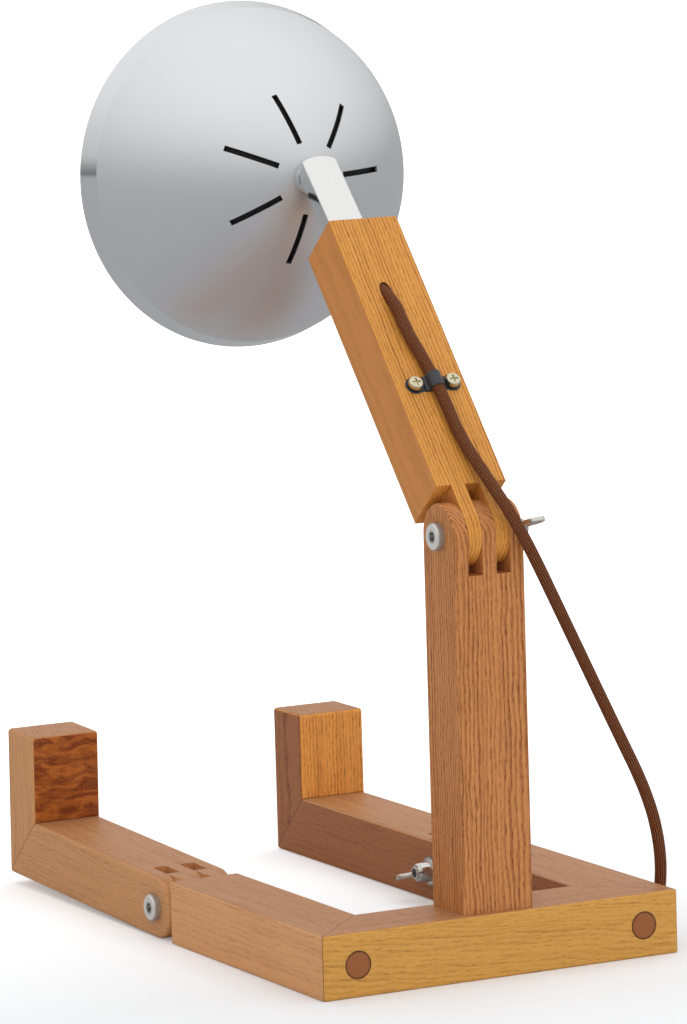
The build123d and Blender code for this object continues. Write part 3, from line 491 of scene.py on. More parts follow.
def wing_mesh(work, place, side):
    """One cast wing, with a raised rim round its sunken web, added to a bmesh."""
    outline = [place @ (Vector((side * x, -WING_THICK / 2, z)) * MM) for x, z in WING_OUTLINE]
    verts = [work.verts.new(point) for point in outline]
    plate = work.faces.new(verts)
    grown = bmesh.ops.extrude_face_region(work, geom=[plate])
    across = place.to_3x3() @ Vector((0, WING_THICK * MM, 0))
    moved = [v for v in grown["geom"] if isinstance(v, bmesh.types.BMVert)]
    bmesh.ops.translate(work, verts=moved, vec=across)
    top = next(f for f in grown["geom"] if isinstance(f, bmesh.types.BMFace))
    for face in (plate, top):
        face.normal_update()
        bmesh.ops.inset_region(work, faces=[face], thickness=WING_RIM * MM, depth=0, use_even_offset=True)
        centre = place @ (Vector((side * 8.0, 0, 7.5)) * MM)
        push = across.normalized() * (WING_SUNK * MM)
        toward = push if (centre - face.calc_center_median()).dot(push) > 0 else -push
        bmesh.ops.inset_region(work, faces=[face], thickness=0.3 * MM, depth=0, use_even_offset=True)
        bmesh.ops.translate(work, verts=face.verts, vec=toward)


def wing_nut(body, node, knuckle, angle, side):
    place = knuckle @ turn("X", angle) @ move(x=-side * NUT_SEAT) @ turn("Y", -90.0 * side) @ turn("Z", 90.0)
    work = bmesh.new()
    for wing in (-1, 1):
        wing_mesh(work, place, wing)
    wings = bpy.data.meshes.new(node + "_wings")
    bmesh.ops.recalc_face_normals(work, faces=work.faces)
    work.to_mesh(wings)
    work.free()
    piece = bpy.data.objects.new(node + "_cast", wings)
    bpy.context.scene.collection.objects.link(piece)
    bevel = piece.modifiers.new("edges", "BEVEL")
    bevel.width, bevel.segments, bevel.limit_method = 0.35 * MM, 3, "ANGLE"
    piece.data.polygons.foreach_set("use_smooth", [True] * len(piece.data.polygons))
    hub = lathe(node + "_hub", NUT_PROFILE, place, closed=True)
    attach(piece, body)
    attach(hub, body)
    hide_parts(node)
    return [piece, hub]


# ---------- saddle ----------
SADDLE_AT = (-0.9, 16.0, 77.5)
SADDLE_PITCH = 20.6
SADDLE_EAR = 4.9
SADDLE_STRAP = 4.1          # half its width over the cord
SADDLE_SHEET = 1.5
ARCH_RADIUS = 3.75
ARCH_MIDDLE = 3.2
EAR_ROUND = 1.6


def saddle_line():
    """Underside of the strap as (across, height), from one ear's end to the other's."""
    reach = SADDLE_PITCH / 2 + SADDLE_EAR
    left = [(-reach + k * (reach - ARCH_RADIUS - EAR_ROUND) / 10, 0.02) for k in range(11)]
    turns = [radians(degrees) for degrees in (70, 45, 20)]
    corner = [(-ARCH_RADIUS - EAR_ROUND * cos(a), EAR_ROUND * (1 - sin(a))) for a in turns]
    rise = [(-ARCH_RADIUS, EAR_ROUND)]
    steps = [pi * k / 24 for k in range(1, 12)]
    arch = [(-ARCH_RADIUS * cos(a), ARCH_MIDDLE + ARCH_RADIUS * sin(a)) for a in steps]
    half = left + corner + rise + arch
    return half + [(0.0, ARCH_MIDDLE + ARCH_RADIUS)] + [(-x, z) for x, z in reversed(half)]


def saddle_half_width(across):
    """Half the strap's width: round at each ear and a little narrower over the cord."""
    from_screw = abs(across) - SADDLE_PITCH / 2
    if from_screw > 0:
        return SADDLE_EAR * max(0.02, 1 - (from_screw / SADDLE_EAR) ** 2) ** 0.5
    blend = min(1.0, -from_screw / 4.0)
    return SADDLE_EAR + (SADDLE_STRAP - SADDLE_EAR) * eased(blend)


def saddle_piece():
    place = BLOCK @ move(*SADDLE_AT) @ turn("X", -90.0) @ turn("Z", 180.0)
    line = saddle_line()
    columns = 8
    verts, faces = [], []
    for across, height in line:
        half = saddle_half_width(across)
        for c in range(columns + 1):
            verts.append(place @ (Vector((across, half * (2 * c / columns - 1), height)) * MM))
    for i in range(len(line) - 1):
        for c in range(columns):
            a = i * (columns + 1) + c
            faces.append((a, a + 1, a + columns + 2, a + columns + 1))
    piece = mesh_object("saddle_strap", verts, faces)
    shell = piece.modifiers.new("sheet", "SOLIDIFY")
    shell.thickness, shell.offset, shell.use_even_offset = SADDLE_SHEET * MM, 1.0, True
    bevel = piece.modifiers.new("edges", "BEVEL")
    bevel.width, bevel.segments, bevel.limit_method = 0.4 * MM, 3, "ANGLE"
    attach(piece, "upper")
    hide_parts("cord_saddle")
    return piece


# ---------- strain reliefs on the switch and the plug ----------
RELIEF_LONG = 26.0
RELIEF_RIBS = 7


def relief_piece(name, mouth, along):
    """Ribbed taper over the cord, from a housing's mouth towards along (+1 or -1 in y)."""
    profile = [(3.05, 0.0), (4.75, 0.0)]
    for rib in range(RELIEF_RIBS):
        start = RELIEF_LONG * rib / RELIEF_RIBS
        outer = 4.75 - 1.35 * rib / RELIEF_RIBS
        profile += [(outer, start + 0.6), (outer, start + 2.4)]
        profile += [(outer - 0.5, start + 2.8), (outer - 0.5, start + 3.5)]
    profile += [(3.35, RELIEF_LONG - 0.4), (3.05, RELIEF_LONG)]
    place = move(*mouth) @ turn("X", -90.0 * along)
    piece = lathe(name, profile, place, segments=48, closed=True)
    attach(piece, "base")
    return piece


shade = shade_piece()
painted_shade_dish = slot_painted_shade_dish()
nut_pieces = [part for nut in WING_NUTS for part in wing_nut(*nut)]
saddle = saddle_piece()
reliefs = [
    relief_piece("relief_switch_in", (SWITCH_START[0], SWITCH_START[1] - 8.0, SWITCH_START[2]), 1),
    relief_piece("relief_switch_out", (SWITCH_END[0], SWITCH_END[1] + 8.0, SWITCH_END[2]), -1),
    relief_piece("relief_plug", (PLUG_START[0], PLUG_START[1] - 16.0, PLUG_START[2]), 1),
]

# ---------- materials ----------


def material(name):
    """New node material: its node tree, its surface shader and a helper that adds nodes."""
    made = bpy.data.materials.new(name)
    made.use_nodes = True
    tree = made.node_tree
    shader = tree.nodes["Principled BSDF"]
    return made, tree, shader


def link(tree, source, target):
    tree.links.new(source, target)


def node(tree, kind, **settings):
    made = tree.nodes.new(kind)
    for key, value in settings.items():
        setattr(made, key, value)
    return made


def math(tree, operation, first, second=None, clamp=False):
    """Math node; an argument is a number or a socket."""
    made = node(tree, "ShaderNodeMath", operation=operation, use_clamp=clamp)
    for socket, value in zip(made.inputs, (first, second)):
        if value is None:
            continue
        if isinstance(value, (int, float)):
            socket.default_value = value
        else:
            link(tree, value, socket)
    return made.outputs[0]


def ramp(tree, factor, stops):
    """Value ramp through (position, value) stops."""
    made = node(tree, "ShaderNodeValToRGB")
    elements = made.color_ramp.elements
    while len(elements) < len(stops):
        elements.new(0.5)
    for element, (position, value) in zip(elements, stops):
        element.position = position
        element.color = (value, value, value, 1.0)
    link(tree, factor, made.inputs[0])
    return made.outputs[0]


def mix(tree, factor, first, second, blend="MIX"):
    """Colour mix; colours are sockets or (r, g, b)."""
    made = node(tree, "ShaderNodeMix", data_type="RGBA", blend_type=blend)
    if isinstance(factor, (int, float)):
        made.inputs[0].default_value = factor
    else:
        link(tree, factor, made.inputs[0])
    for socket, value in ((made.inputs[6], first), (made.inputs[7], second)):
        if isinstance(value, tuple):
            socket.default_value = (*value, 1.0)
        else:
            link(tree, value, socket)
    return made.outputs[2]


def noise(tree, vector, scale, detail=2.0, roughness=0.5, distortion=0.0):
    made = node(tree, "ShaderNodeTexNoise")
    made.inputs["Scale"].default_value = scale
    made.inputs["Detail"].default_value = detail
    made.inputs["Roughness"].default_value = roughness
    made.inputs["Distortion"].default_value = distortion
    if vector is not None:
        link(tree, vector, made.inputs["Vector"])
    return made.outputs[0]


def stretched(tree, vector, scale):
    """Vector times a fixed scale on each axis."""
    made = node(tree, "ShaderNodeVectorMath", operation="MULTIPLY")
    link(tree, vector, made.inputs[0])
    made.inputs[1].default_value = scale
    return made.outputs[0]


def bump(tree, shader, height, distance, strength=1.0):
    made = node(tree, "ShaderNodeBump")
    made.inputs["Strength"].default_value = strength
    made.inputs["Distance"].default_value = distance
    link(tree, height, made.inputs["Height"])
    link(tree, made.outputs[0], shader.inputs["Normal"])


def local_millimetres(tree, place):
    """Object coordinates turned into a piece's own frame, in millimetres."""
    coordinates = node(tree, "ShaderNodeTexCoord")
    mapping = node(tree, "ShaderNodeMapping", vector_type="TEXTURE")
    location, rotation, _ = place.decompose()
    mapping.inputs["Location"].default_value = location
    mapping.inputs["Rotation"].default_value = rotation.to_euler()
    mapping.inputs["Scale"].default_value = (MM, MM, MM)
    link(tree, coordinates.outputs["Object"], mapping.inputs["Vector"])
    return mapping.outputs[0]


def srgb(red, green, blue):
    """Linear colour of an 8-bit screen colour."""
    def linear(value):
        value /= 255
        return value / 12.92 if value <= 0.04045 else ((value + 0.055) / 1.055) ** 2.4
    return (linear(red), linear(green), linear(blue))


def facing(tree, direction):
    """1 on faces whose normal at rest points along a direction, 0 on the others."""
    coordinates = node(tree, "ShaderNodeTexCoord")
    dot = node(tree, "ShaderNodeVectorMath", operation="DOT_PRODUCT")
    link(tree, coordinates.outputs["Normal"], dot.inputs[0])
    dot.inputs[1].default_value = direction
    return ramp(tree, dot.outputs["Value"], ((0.72, 0.0), (0.86, 1.0)))


def seam_shade(tree, at, seams, half_wide):
    """1 on the joints' lines: seams are ((x, y, z), distance) planes in the piece's frame."""
    shade = 0.0
    for normal, distance in seams:
        dot = node(tree, "ShaderNodeVectorMath", operation="DOT_PRODUCT")
        link(tree, at, dot.inputs[0])
        dot.inputs[1].default_value = normal
        away = math(tree, "ABSOLUTE", math(tree, "SUBTRACT", dot.outputs["Value"], distance))
        line = ramp(tree, away, ((half_wide * 0.6, 1.0), (half_wide, 0.0)))
        shade = line if isinstance(shade, float) else math(tree, "MAXIMUM", shade, line)
    return shade


# Share of open early wood through one growth ring.
YEAR_GROWTH = ((0.0, 0.1), (0.10, 1.0), (0.36, 0.7), (0.60, 0.12), (1.0, 0.0))


def wood(name, place, tone, pith, rings=1.9, contrast=0.5, pores=0.5, sway=4.0, tilt=(0.0, 0.0), faces=(),
         calm=None, figure=None, seams=()):
    """Varnished open-grained wood, grown round a pith line along the frame's z.

    pith is the pith's place across the beam, rings the spacing of the growth rings, sway how far they
    wander, faces (direction, tone) for a face in a tone of its own, which is painted light on the tops and
    partly painted shade on the darker sides, calm the direction of a face with little grain, figure
    (direction, strength, tone) for a face with bright ripples across its grain, and seams the planes of
    the beam's glued mitres.
    """
    made, tree, shader = material(name)
    at = local_millimetres(tree, place)
    drift = noise(tree, stretched(tree, at, (0.030, 0.030, 0.0075)), 1.0, 2.0)
    wobble = noise(tree, stretched(tree, at, (0.16, 0.16, 0.045)), 1.0, 2.0)
    split = node(tree, "ShaderNodeSeparateXYZ")
    link(tree, at, split.inputs[0])
    leaning = math(tree, "MULTIPLY", split.outputs[2], tilt[0])
    side = math(tree, "ADD", split.outputs[0], math(tree, "SUBTRACT", leaning, pith[0]))
    rising = math(tree, "MULTIPLY", split.outputs[2], tilt[1])
    depth = math(tree, "ADD", split.outputs[1], math(tree, "SUBTRACT", rising, pith[1]))
    square = math(tree, "ADD", math(tree, "POWER", side, 2.0), math(tree, "POWER", depth, 2.0))
    radius = math(tree, "SQRT", square)
    radius = math(tree, "ADD", radius, math(tree, "MULTIPLY", drift, sway))
    radius = math(tree, "ADD", radius, math(tree, "MULTIPLY", wobble, 2.4))
    years = math(tree, "DIVIDE", radius, rings)
    each = node(tree, "ShaderNodeTexWhiteNoise", noise_dimensions="1D")
    link(tree, math(tree, "FLOOR", years), each.inputs["W"])
    early = ramp(tree, math(tree, "FRACT", years), YEAR_GROWTH)
    vigour = math(tree, "ADD", 0.35, math(tree, "MULTIPLY", each.outputs[0], 0.65))
    early = math(tree, "MULTIPLY", early, vigour)
    fibre = noise(tree, stretched(tree, at, (1.9, 1.9, 0.11)), 1.0, 2.0, 0.6)
    streak = noise(tree, stretched(tree, at, (0.20, 0.20, 0.012)), 1.0, 2.0)
    vessel = noise(tree, stretched(tree, at, (1.9, 1.9, 0.34)), 1.0, 1.0, 0.4)
    open_pore = ramp(tree, vessel, ((0.52, 0.0), (0.62, 1.0)))
    crowded = math(tree, "ADD", math(tree, "MULTIPLY", early, 0.8), 0.2)
    open_pore = math(tree, "MULTIPLY", open_pore, crowded)

    # Faces in their own tones: painted light on the tops and partly painted shade on the darker sides.
    tint = tone
    for direction, painted_face_light_and_shade in faces:
        tint = mix(tree, facing(tree, direction), tint, painted_face_light_and_shade)
    dark = mix(tree, 1.0, tint, (0.56, 0.43, 0.32), "MULTIPLY")
    light = mix(tree, 1.0, tint, (1.14, 1.14, 1.12), "MULTIPLY")
    grain = math(tree, "MULTIPLY", early, contrast)
    grain = math(tree, "ADD", grain, math(tree, "MULTIPLY", math(tree, "SUBTRACT", fibre, 0.5), 0.9))
    streaks = math(tree, "MULTIPLY", math(tree, "SUBTRACT", streak, 0.5), 0.8)
    grain = math(tree, "ADD", grain, streaks, clamp=True)
    pore_share = math(tree, "MULTIPLY", open_pore, pores)
    if calm:
        still = math(tree, "SUBTRACT", 1.0, math(tree, "MULTIPLY", facing(tree, calm), 0.65))
        grain = math(tree, "ADD", 0.30, math(tree, "MULTIPLY", math(tree, "SUBTRACT", grain, 0.30), still))
        pore_share = math(tree, "MULTIPLY", pore_share, still)
    colour = mix(tree, grain, light, dark)
    colour = mix(tree, pore_share, colour, mix(tree, 1.0, dark, (0.62, 0.50, 0.40), "MULTIPLY"))
    if figure:
        direction, strength, bright = figure
        band = noise(tree, stretched(tree, at, (0.07, 0.07, 0.22)), 1.0, 3.0, 0.65, 1.0)
        ripple = ramp(tree, band, ((0.40, 0.0), (0.62, strength)))
        colour = mix(tree, math(tree, "MULTIPLY", ripple, facing(tree, direction)), colour, bright)
    if seams:
        colour = mix(tree, math(tree, "MULTIPLY", seam_shade(tree, at, seams, 0.34), 0.6), colour, SEAM_BROWN)
    link(tree, colour, shader.inputs["Base Color"])
    shader.inputs["Specular IOR Level"].default_value = 0.28
    gloss = math(tree, "ADD", 0.38, math(tree, "MULTIPLY", open_pore, 0.22))
    gloss = math(tree, "ADD", gloss, math(tree, "MULTIPLY", streak, 0.10))
    link(tree, gloss, shader.inputs["Roughness"])
    relief = math(tree, "SUBTRACT", math(tree, "MULTIPLY", fibre, 0.3), open_pore)
    bump(tree, shader, relief, 0.00015, 0.6)
    return made


def metal(name, colour, roughness, scale=900.0, variation=0.06, relief=0.0):
    """Plated or brushed metal with faint uneven polish."""
    made, tree, shader = material(name)
    coordinates = node(tree, "ShaderNodeTexCoord")
    uneven = noise(tree, coordinates.outputs["Object"], scale, 3.0)
    shader.inputs["Metallic"].default_value = 1.0
    cloud = noise(tree, coordinates.outputs["Object"], 35.0, 2.0)
    darker = tuple(c * 0.93 for c in colour)
    link(tree, mix(tree, cloud, colour, darker), shader.inputs["Base Color"])
    change = math(tree, "MULTIPLY", math(tree, "SUBTRACT", uneven, 0.5), variation)
    gloss = math(tree, "ADD", roughness, change)
    link(tree, gloss, shader.inputs["Roughness"])
    if relief:
        bump(tree, shader, uneven, relief, 0.5)
    return made


def plastic(name, colour, roughness, scale=2200.0, relief=0.00004):
    """Moulded plastic or rubber with a fine grain."""
    made, tree, shader = material(name)
    coordinates = node(tree, "ShaderNodeTexCoord")
    grain = noise(tree, coordinates.outputs["Object"], scale, 2.0)
    cloud = noise(tree, coordinates.outputs["Object"], 60.0, 2.0)
    lighter = tuple(min(1.0, c * 1.25 + 0.004) for c in colour)
    link(tree, mix(tree, cloud, colour, lighter), shader.inputs["Base Color"])
    gloss = math(tree, "ADD", roughness, math(tree, "MULTIPLY", math(tree, "SUBTRACT", grain, 0.5), 0.15))
    link(tree, gloss, shader.inputs["Roughness"])
    bump(tree, shader, grain, relief, 0.5)
    return made


def braid():
    """Woven cord cover: strands that cross over and under, darker in the hollows between them as painted
    shade, with a pale fleck.
    """
    made, tree, shader = material("braid")
    coordinates = node(tree, "ShaderNodeTexCoord")
    split = node(tree, "ShaderNodeSeparateXYZ")
    link(tree, coordinates.outputs["UV"], split.inputs[0])
    around = math(tree, "MULTIPLY", split.outputs[0], 8.0)
    along = math(tree, "MULTIPLY", split.outputs[1], 5.0)
    right = math(tree, "ADD", along, around)
    left = math(tree, "SUBTRACT", along, around)
    wave_right = math(tree, "SINE", math(tree, "MULTIPLY", right, 2 * pi))
    wave_left = math(tree, "SINE", math(tree, "MULTIPLY", left, 2 * pi))
    over = math(tree, "MULTIPLY", wave_right, wave_left)
    height = math(tree, "ADD", math(tree, "MULTIPLY", over, 0.5), 0.5)
    fine = noise(tree, stretched(tree, coordinates.outputs["Object"], (1500.0, 1500.0, 1500.0)), 1.0, 2.0)
    fleck = ramp(tree, over, ((0.30, 0.0), (0.70, 1.0)))
    fleck = math(tree, "MULTIPLY", fleck, ramp(tree, fine, ((0.36, 0.2), (0.58, 1.0))))
    # Darker where the strands dip under: painted shade in the weave's hollows.
    weave_painted_shade = mix(tree, height, srgb(50, 18, 4), srgb(122, 62, 26))
    colour = mix(tree, math(tree, "MULTIPLY", fleck, 0.6), weave_painted_shade, srgb(190, 138, 94))
    link(tree, colour, shader.inputs["Base Color"])
    shader.inputs["Roughness"].default_value = 0.62
    shader.inputs["Specular IOR Level"].default_value = 0.2
    bump(tree, shader, math(tree, "ADD", height, math(tree, "MULTIPLY", fine, 0.4)), 0.00025, 0.8)
    return made


def glass(name, colour, roughness):
    made, tree, shader = material(name)
    coordinates = node(tree, "ShaderNodeTexCoord")
    ripple = noise(tree, coordinates.outputs["Object"], 260.0, 1.0)
    shader.inputs["Base Color"].default_value = (*colour, 1.0)
    shader.inputs["Roughness"].default_value = roughness
    shader.inputs["Transmission Weight"].default_value = 0.9
    bump(tree, shader, ripple, 0.0001, 0.3)
    return made


def dowel(name, colour, place, off_middle=0.0):
    """Dowel end: dark close end grain with a darker glue line at its rim."""
    made, tree, shader = material(name)
    at = local_millimetres(tree, place)
    split = node(tree, "ShaderNodeSeparateXYZ")
    link(tree, at, split.inputs[0])
    across = math(tree, "SUBTRACT", math(tree, "ABSOLUTE", split.outputs[0]), off_middle)
    flat = math(tree, "ADD", math(tree, "POWER", across, 2.0), math(tree, "POWER", split.outputs[2], 2.0))
    rim = ramp(tree, math(tree, "DIVIDE", math(tree, "SQRT", flat), 10.0), ((0.60, 0.0), (0.66, 1.0)))
    speck = noise(tree, stretched(tree, at, (2.2, 0.5, 2.2)), 1.0, 2.0)
    broken = noise(tree, stretched(tree, at, (1.1, 0.3, 1.1)), 1.0, 1.0)
    cloud = noise(tree, stretched(tree, at, (0.25, 0.1, 0.25)), 1.0, 2.0)
    face = mix(tree, math(tree, "MULTIPLY", speck, 0.4), colour, tuple(c * 0.6 for c in colour))
    face = mix(tree, math(tree, "MULTIPLY", cloud, 0.3), face, tuple(min(1.0, c * 1.35) for c in colour))
    rim = math(tree, "MULTIPLY", rim, ramp(tree, broken, ((0.35, 0.35), (0.5, 1.0))))
    face = mix(tree, rim, face, SEAM_BROWN)
    link(tree, face, shader.inputs["Base Color"])
    shader.inputs["Roughness"].default_value = 0.42
    shader.inputs["Specular IOR Level"].default_value = 0.3
    bump(tree, shader, speck, 0.00008, 0.5)
    return made


def axle_metal(name, place, colour, roughness):
    """Plated bolt about the place's x: bright, with painted shade in its socket, a darker ring on the head,
    and painted shade beyond the head's rim.
    """
    made, tree, shader = material(name)
    at = local_millimetres(tree, place)
    split = node(tree, "ShaderNodeSeparateXYZ")
    link(tree, at, split.inputs[0])
    squares = [math(tree, "POWER", split.outputs[axis], 2.0) for axis in (1, 2)]
    flat = math(tree, "ADD", *squares)
    out = math(tree, "DIVIDE", math(tree, "SQRT", flat), 10.0)
    # Levels across the head: painted shade in the socket, a darker ring, then painted shade beyond the head's
    # rim.
    level = ramp(tree, out, ((0.0, 0.03), (0.235, 0.06), (0.27, 0.9), (0.33, 0.65), (0.37, 1.0), (0.63, 1.0),
                             (0.66, 0.45), (0.69, 0.5)))
    cloud = noise(tree, at, 0.6, 2.0)
    tint = mix(tree, cloud, colour, tuple(c * 0.85 for c in colour))
    link(tree, mix(tree, 1.0, tint, level, "MULTIPLY"), shader.inputs["Base Color"])
    shader.inputs["Metallic"].default_value = 0.65
    link(tree, math(tree, "ADD", roughness, math(tree, "MULTIPLY", cloud, 0.06)), shader.inputs["Roughness"])
    bump(tree, shader, cloud, 0.00005, 0.3)
    return made


def neck_metal():
    """Chromed channel, with a faint long unevenness in its polish."""
    made, tree, shader = material("neck_chrome")
    at = local_millimetres(tree, BAR)
    cloud = noise(tree, stretched(tree, at, (0.4, 0.4, 0.06)), 1.0, 2.0)
    link(tree, mix(tree, cloud, (0.84, 0.84, 0.83), (0.81, 0.81, 0.81)), shader.inputs["Base Color"])
    shader.inputs["Metallic"].default_value = 1.0
    link(tree, math(tree, "ADD", 0.08, math(tree, "MULTIPLY", cloud, 0.06)), shader.inputs["Roughness"])
    bump(tree, shader, cloud, 0.00004, 0.3)
    return made


CONE_ROUGHNESS = 0.42
LIP_POLISH = 0.34           # how much smoother the lip is than the cone


def spun_chrome():
    """Chromed spinning: a satin cone, and a lip with a brighter polish beyond the crease."""
    made, tree, shader = material("shade_chrome")
    at = local_millimetres(tree, HEAD)
    cloud = noise(tree, stretched(tree, at, (0.02, 0.02, 0.02)), 1.0, 2.0)
    split = node(tree, "ShaderNodeSeparateXYZ")
    link(tree, at, split.inputs[0])
    height = math(tree, "DIVIDE", split.outputs[2], 100.0)
    on_lip = ramp(tree, height, ((0.887, 0.0), (0.891, 1.0)))
    link(tree, mix(tree, cloud, (0.82, 0.84, 0.86), (0.78, 0.80, 0.82)), shader.inputs["Base Color"])
    shader.inputs["Metallic"].default_value = 1.0
    satin = math(tree, "ADD", CONE_ROUGHNESS, math(tree, "MULTIPLY", cloud, 0.05))
    polish = math(tree, "MULTIPLY", on_lip, LIP_POLISH)
    link(tree, math(tree, "SUBTRACT", satin, polish), shader.inputs["Roughness"])
    fine = noise(tree, stretched(tree, at, (0.5, 0.5, 6.0)), 1.0, 2.0)
    bump(tree, shader, fine, 0.00001, 0.3)
    return made


def dress(name, made):
    """Give a CAD node or a piece one material."""
    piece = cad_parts[name] if isinstance(name, str) else name
    piece.data.materials.clear()
    piece.data.materials.append(made)


# The grain runs along local z: these frames turn it along each beam.
ALONG_X = turn("Y", 90.0)
ALONG_Y = turn("X", 90.0)
TOP, REAR, LEFT = (0, 0, 1), (0, 1, 0), (1, 0, 0)
FOOT_Y = -160.0
HALF_ROOT = 0.5 ** 0.5
HIP_MITRE = 79.6 * HALF_ROOT        # from the middle of the base, square to each mitre
TOE_MITRE = 161.5 * HALF_ROOT       # from the knee's axle

GOLD = srgb(202, 149, 72)
BLOCK_GOLD = srgb(212, 146, 66)
# The block's left side: a darker tone that is partly wood and partly painted shade.
BLOCK_SIDE_PAINTED_SHADE = srgb(202, 134, 66)
TORSO_BROWN = srgb(192, 128, 74)
TAN = srgb(192, 138, 90)
LIGHT_TAN = srgb(206, 150, 100)
# Tops: a greyer, pinker tone that is painted light, the sheen that tops take.
PAINTED_TOP_LIGHT = srgb(175, 123, 82)
# Left sides of the right leg: a darker wood tone with painted shade in it.
PAINTED_SIDE_SHADE = srgb(156, 98, 58)
# Rear face of the left foot: a deep red-brown wood tone with painted shade in it.
PAINTED_DEEP_SHADE = srgb(124, 58, 20)
FOOT_GOLD = srgb(224, 152, 72)
ORANGE = srgb(196, 110, 40)
SEAM_BROWN = srgb(70, 36, 20)


def mitres(place, *planes):
    """Mitre planes ((normal), distance) of the row frame, in a beam's own frame."""
    local = []
    for normal, distance in planes:
        turned = place.to_3x3().transposed() @ Vector(normal)
        local.append((tuple(turned), distance - Vector(normal).dot(place.translation) / MM))
    return local


def toe_mitre(knee, place):
    """Mitre plane between a shin and its foot, in a beam's own frame."""
    normal = knee.to_3x3() @ Vector((0, HALF_ROOT, -HALF_ROOT))
    distance = normal.dot(knee.translation) / MM - TOE_MITRE
    return mitres(place, (normal, distance))


def beams():
    """(node, frame, tone and grain) of each wooden piece."""
    hip = [((HALF_ROOT, -HALF_ROOT, 0), HIP_MITRE), ((-HALF_ROOT, -HALF_ROOT, 0), HIP_MITRE)]
    crossbar, torso = move(z=16) @ ALONG_X, move(z=100)
    thigh_left, thigh_right = move(KNEE_X, -80, 16) @ ALONG_Y, move(-KNEE_X, -80, 16) @ ALONG_Y
    shin_left, shin_right = KNEE_LEFT @ ALONG_Y, KNEE_RIGHT @ ALONG_Y
    foot_left, foot_right = KNEE_LEFT @ move(y=FOOT_Y), KNEE_RIGHT @ move(y=FOOT_Y)
    # The faces entries give painted light to the tops and partly painted shade to the darker sides.
    return (
        ("hip_crossbar", crossbar, dict(tone=GOLD, pith=(46, 60), rings=1.9, contrast=0.3, pores=0.4, sway=9,
                                        tilt=(0.07, 0.03), faces=((TOP, PAINTED_TOP_LIGHT),),
                                        seams=mitres(crossbar, *hip))),
        ("torso", torso, dict(tone=TORSO_BROWN, pith=(-70, -78), rings=1.5, contrast=0.9, pores=0.85,
                              sway=5)),
        ("neck_block", BLOCK, dict(tone=BLOCK_GOLD, pith=(95, 10), rings=2.0, contrast=0.9, pores=0.65,
                                   faces=((LEFT, BLOCK_SIDE_PAINTED_SHADE),), calm=LEFT)),
        ("thigh_left", thigh_left, dict(tone=LIGHT_TAN, pith=(60, -50), rings=2.2, contrast=0.22, pores=0.22,
                                        sway=9, faces=((TOP, PAINTED_TOP_LIGHT),),
                                        seams=mitres(thigh_left, hip[0]))),
        ("thigh_right", thigh_right, dict(tone=TAN, pith=(-60, -70), rings=2.0, contrast=0.3, pores=0.3,
                                          sway=9, faces=((TOP, PAINTED_TOP_LIGHT), (LEFT, PAINTED_SIDE_SHADE)),
                                          seams=mitres(thigh_right, hip[1]))),
        ("shin_left", shin_left, dict(tone=TAN, pith=(-40, 66), rings=1.8, contrast=0.25, pores=0.25, sway=9,
                                      faces=((TOP, PAINTED_TOP_LIGHT),), seams=toe_mitre(KNEE_LEFT, shin_left))),
        ("shin_right", shin_right, dict(tone=TAN, pith=(-55, 60), rings=2.0, contrast=0.25, pores=0.25,
                                        sway=9, faces=((TOP, PAINTED_TOP_LIGHT), (LEFT, PAINTED_SIDE_SHADE)),
                                        seams=toe_mitre(KNEE_RIGHT, shin_right))),
        ("foot_left", foot_left, dict(tone=TAN, pith=(-60, 20), rings=2.2, contrast=0.35, pores=0.3, sway=12,
                                      faces=((REAR, PAINTED_DEEP_SHADE), (TOP, PAINTED_TOP_LIGHT)), figure=(REAR, 0.75, ORANGE),
                                      seams=toe_mitre(KNEE_LEFT, foot_left))),
        ("foot_right", foot_right, dict(tone=FOOT_GOLD, pith=(80, 6), rings=2.0, contrast=0.62, pores=0.8,
                                        faces=((LEFT, PAINTED_SIDE_SHADE), (TOP, PAINTED_TOP_LIGHT)),
                                        seams=toe_mitre(KNEE_RIGHT, foot_right))),
    )


for name, place, grain in beams():
    dress(name, wood(name + "_wood", place, **grain))

DOWEL = srgb(152, 92, 52)
for name, place, off_middle in (
    ("crossbar_dowels", move(z=16), KNEE_X),
    ("foot_dowel_left", KNEE_LEFT, 0.0),
    ("foot_dowel_right", KNEE_RIGHT, 0.0),
):
    dress(name, dowel(name + "_wood", DOWEL, place, off_middle))

chrome = metal("chrome", (0.80, 0.80, 0.80), 0.09)
cast = metal("cast_zinc", (0.76, 0.75, 0.71), 0.24, scale=1600.0, relief=0.00003)
zinc = metal("zinc", (0.66, 0.67, 0.66), 0.35)
brass = metal("brass", (0.80, 0.62, 0.32), 0.25)
for name in ("neck_swivel", "tilt_pin", "shade_hub"):
    dress(name, chrome)
dress("neck_bar", neck_metal())
dress(shade, spun_chrome())
# Black on the slot walls is painted shade.
shade.data.materials.append(plastic("slot_wall_painted_shade", (0.01, 0.01, 0.01), 0.6))
NICKEL = (0.95, 0.92, 0.86)
for joint, place in (("waist_{}", WAIST), ("knee_{}_left", KNEE_LEFT), ("knee_{}_right", KNEE_RIGHT)):
    plated = axle_metal(joint.format("nickel"), place, NICKEL, 0.16)
    for kind in ("bolt", "washer"):
        dress(joint.format(kind), plated)
for part in nut_pieces:
    dress(part, cast)
for name in ("torso_screws", "swivel_nut", "hub_nut", "bulb_pins"):
    dress(name, zinc)
for name in ("swivel_bush", "plug_pins"):
    dress(name, brass)
dress("saddle_screws", metal("cream_plate", srgb(226, 218, 186), 0.32))
dress(saddle, plastic("saddle_black", (0.030, 0.030, 0.033), 0.42))
dark = plastic("dark_plastic", srgb(52, 40, 34), 0.45)
for piece in ["switch_housing", "plug_body", *reliefs]:
    dress(piece, dark)
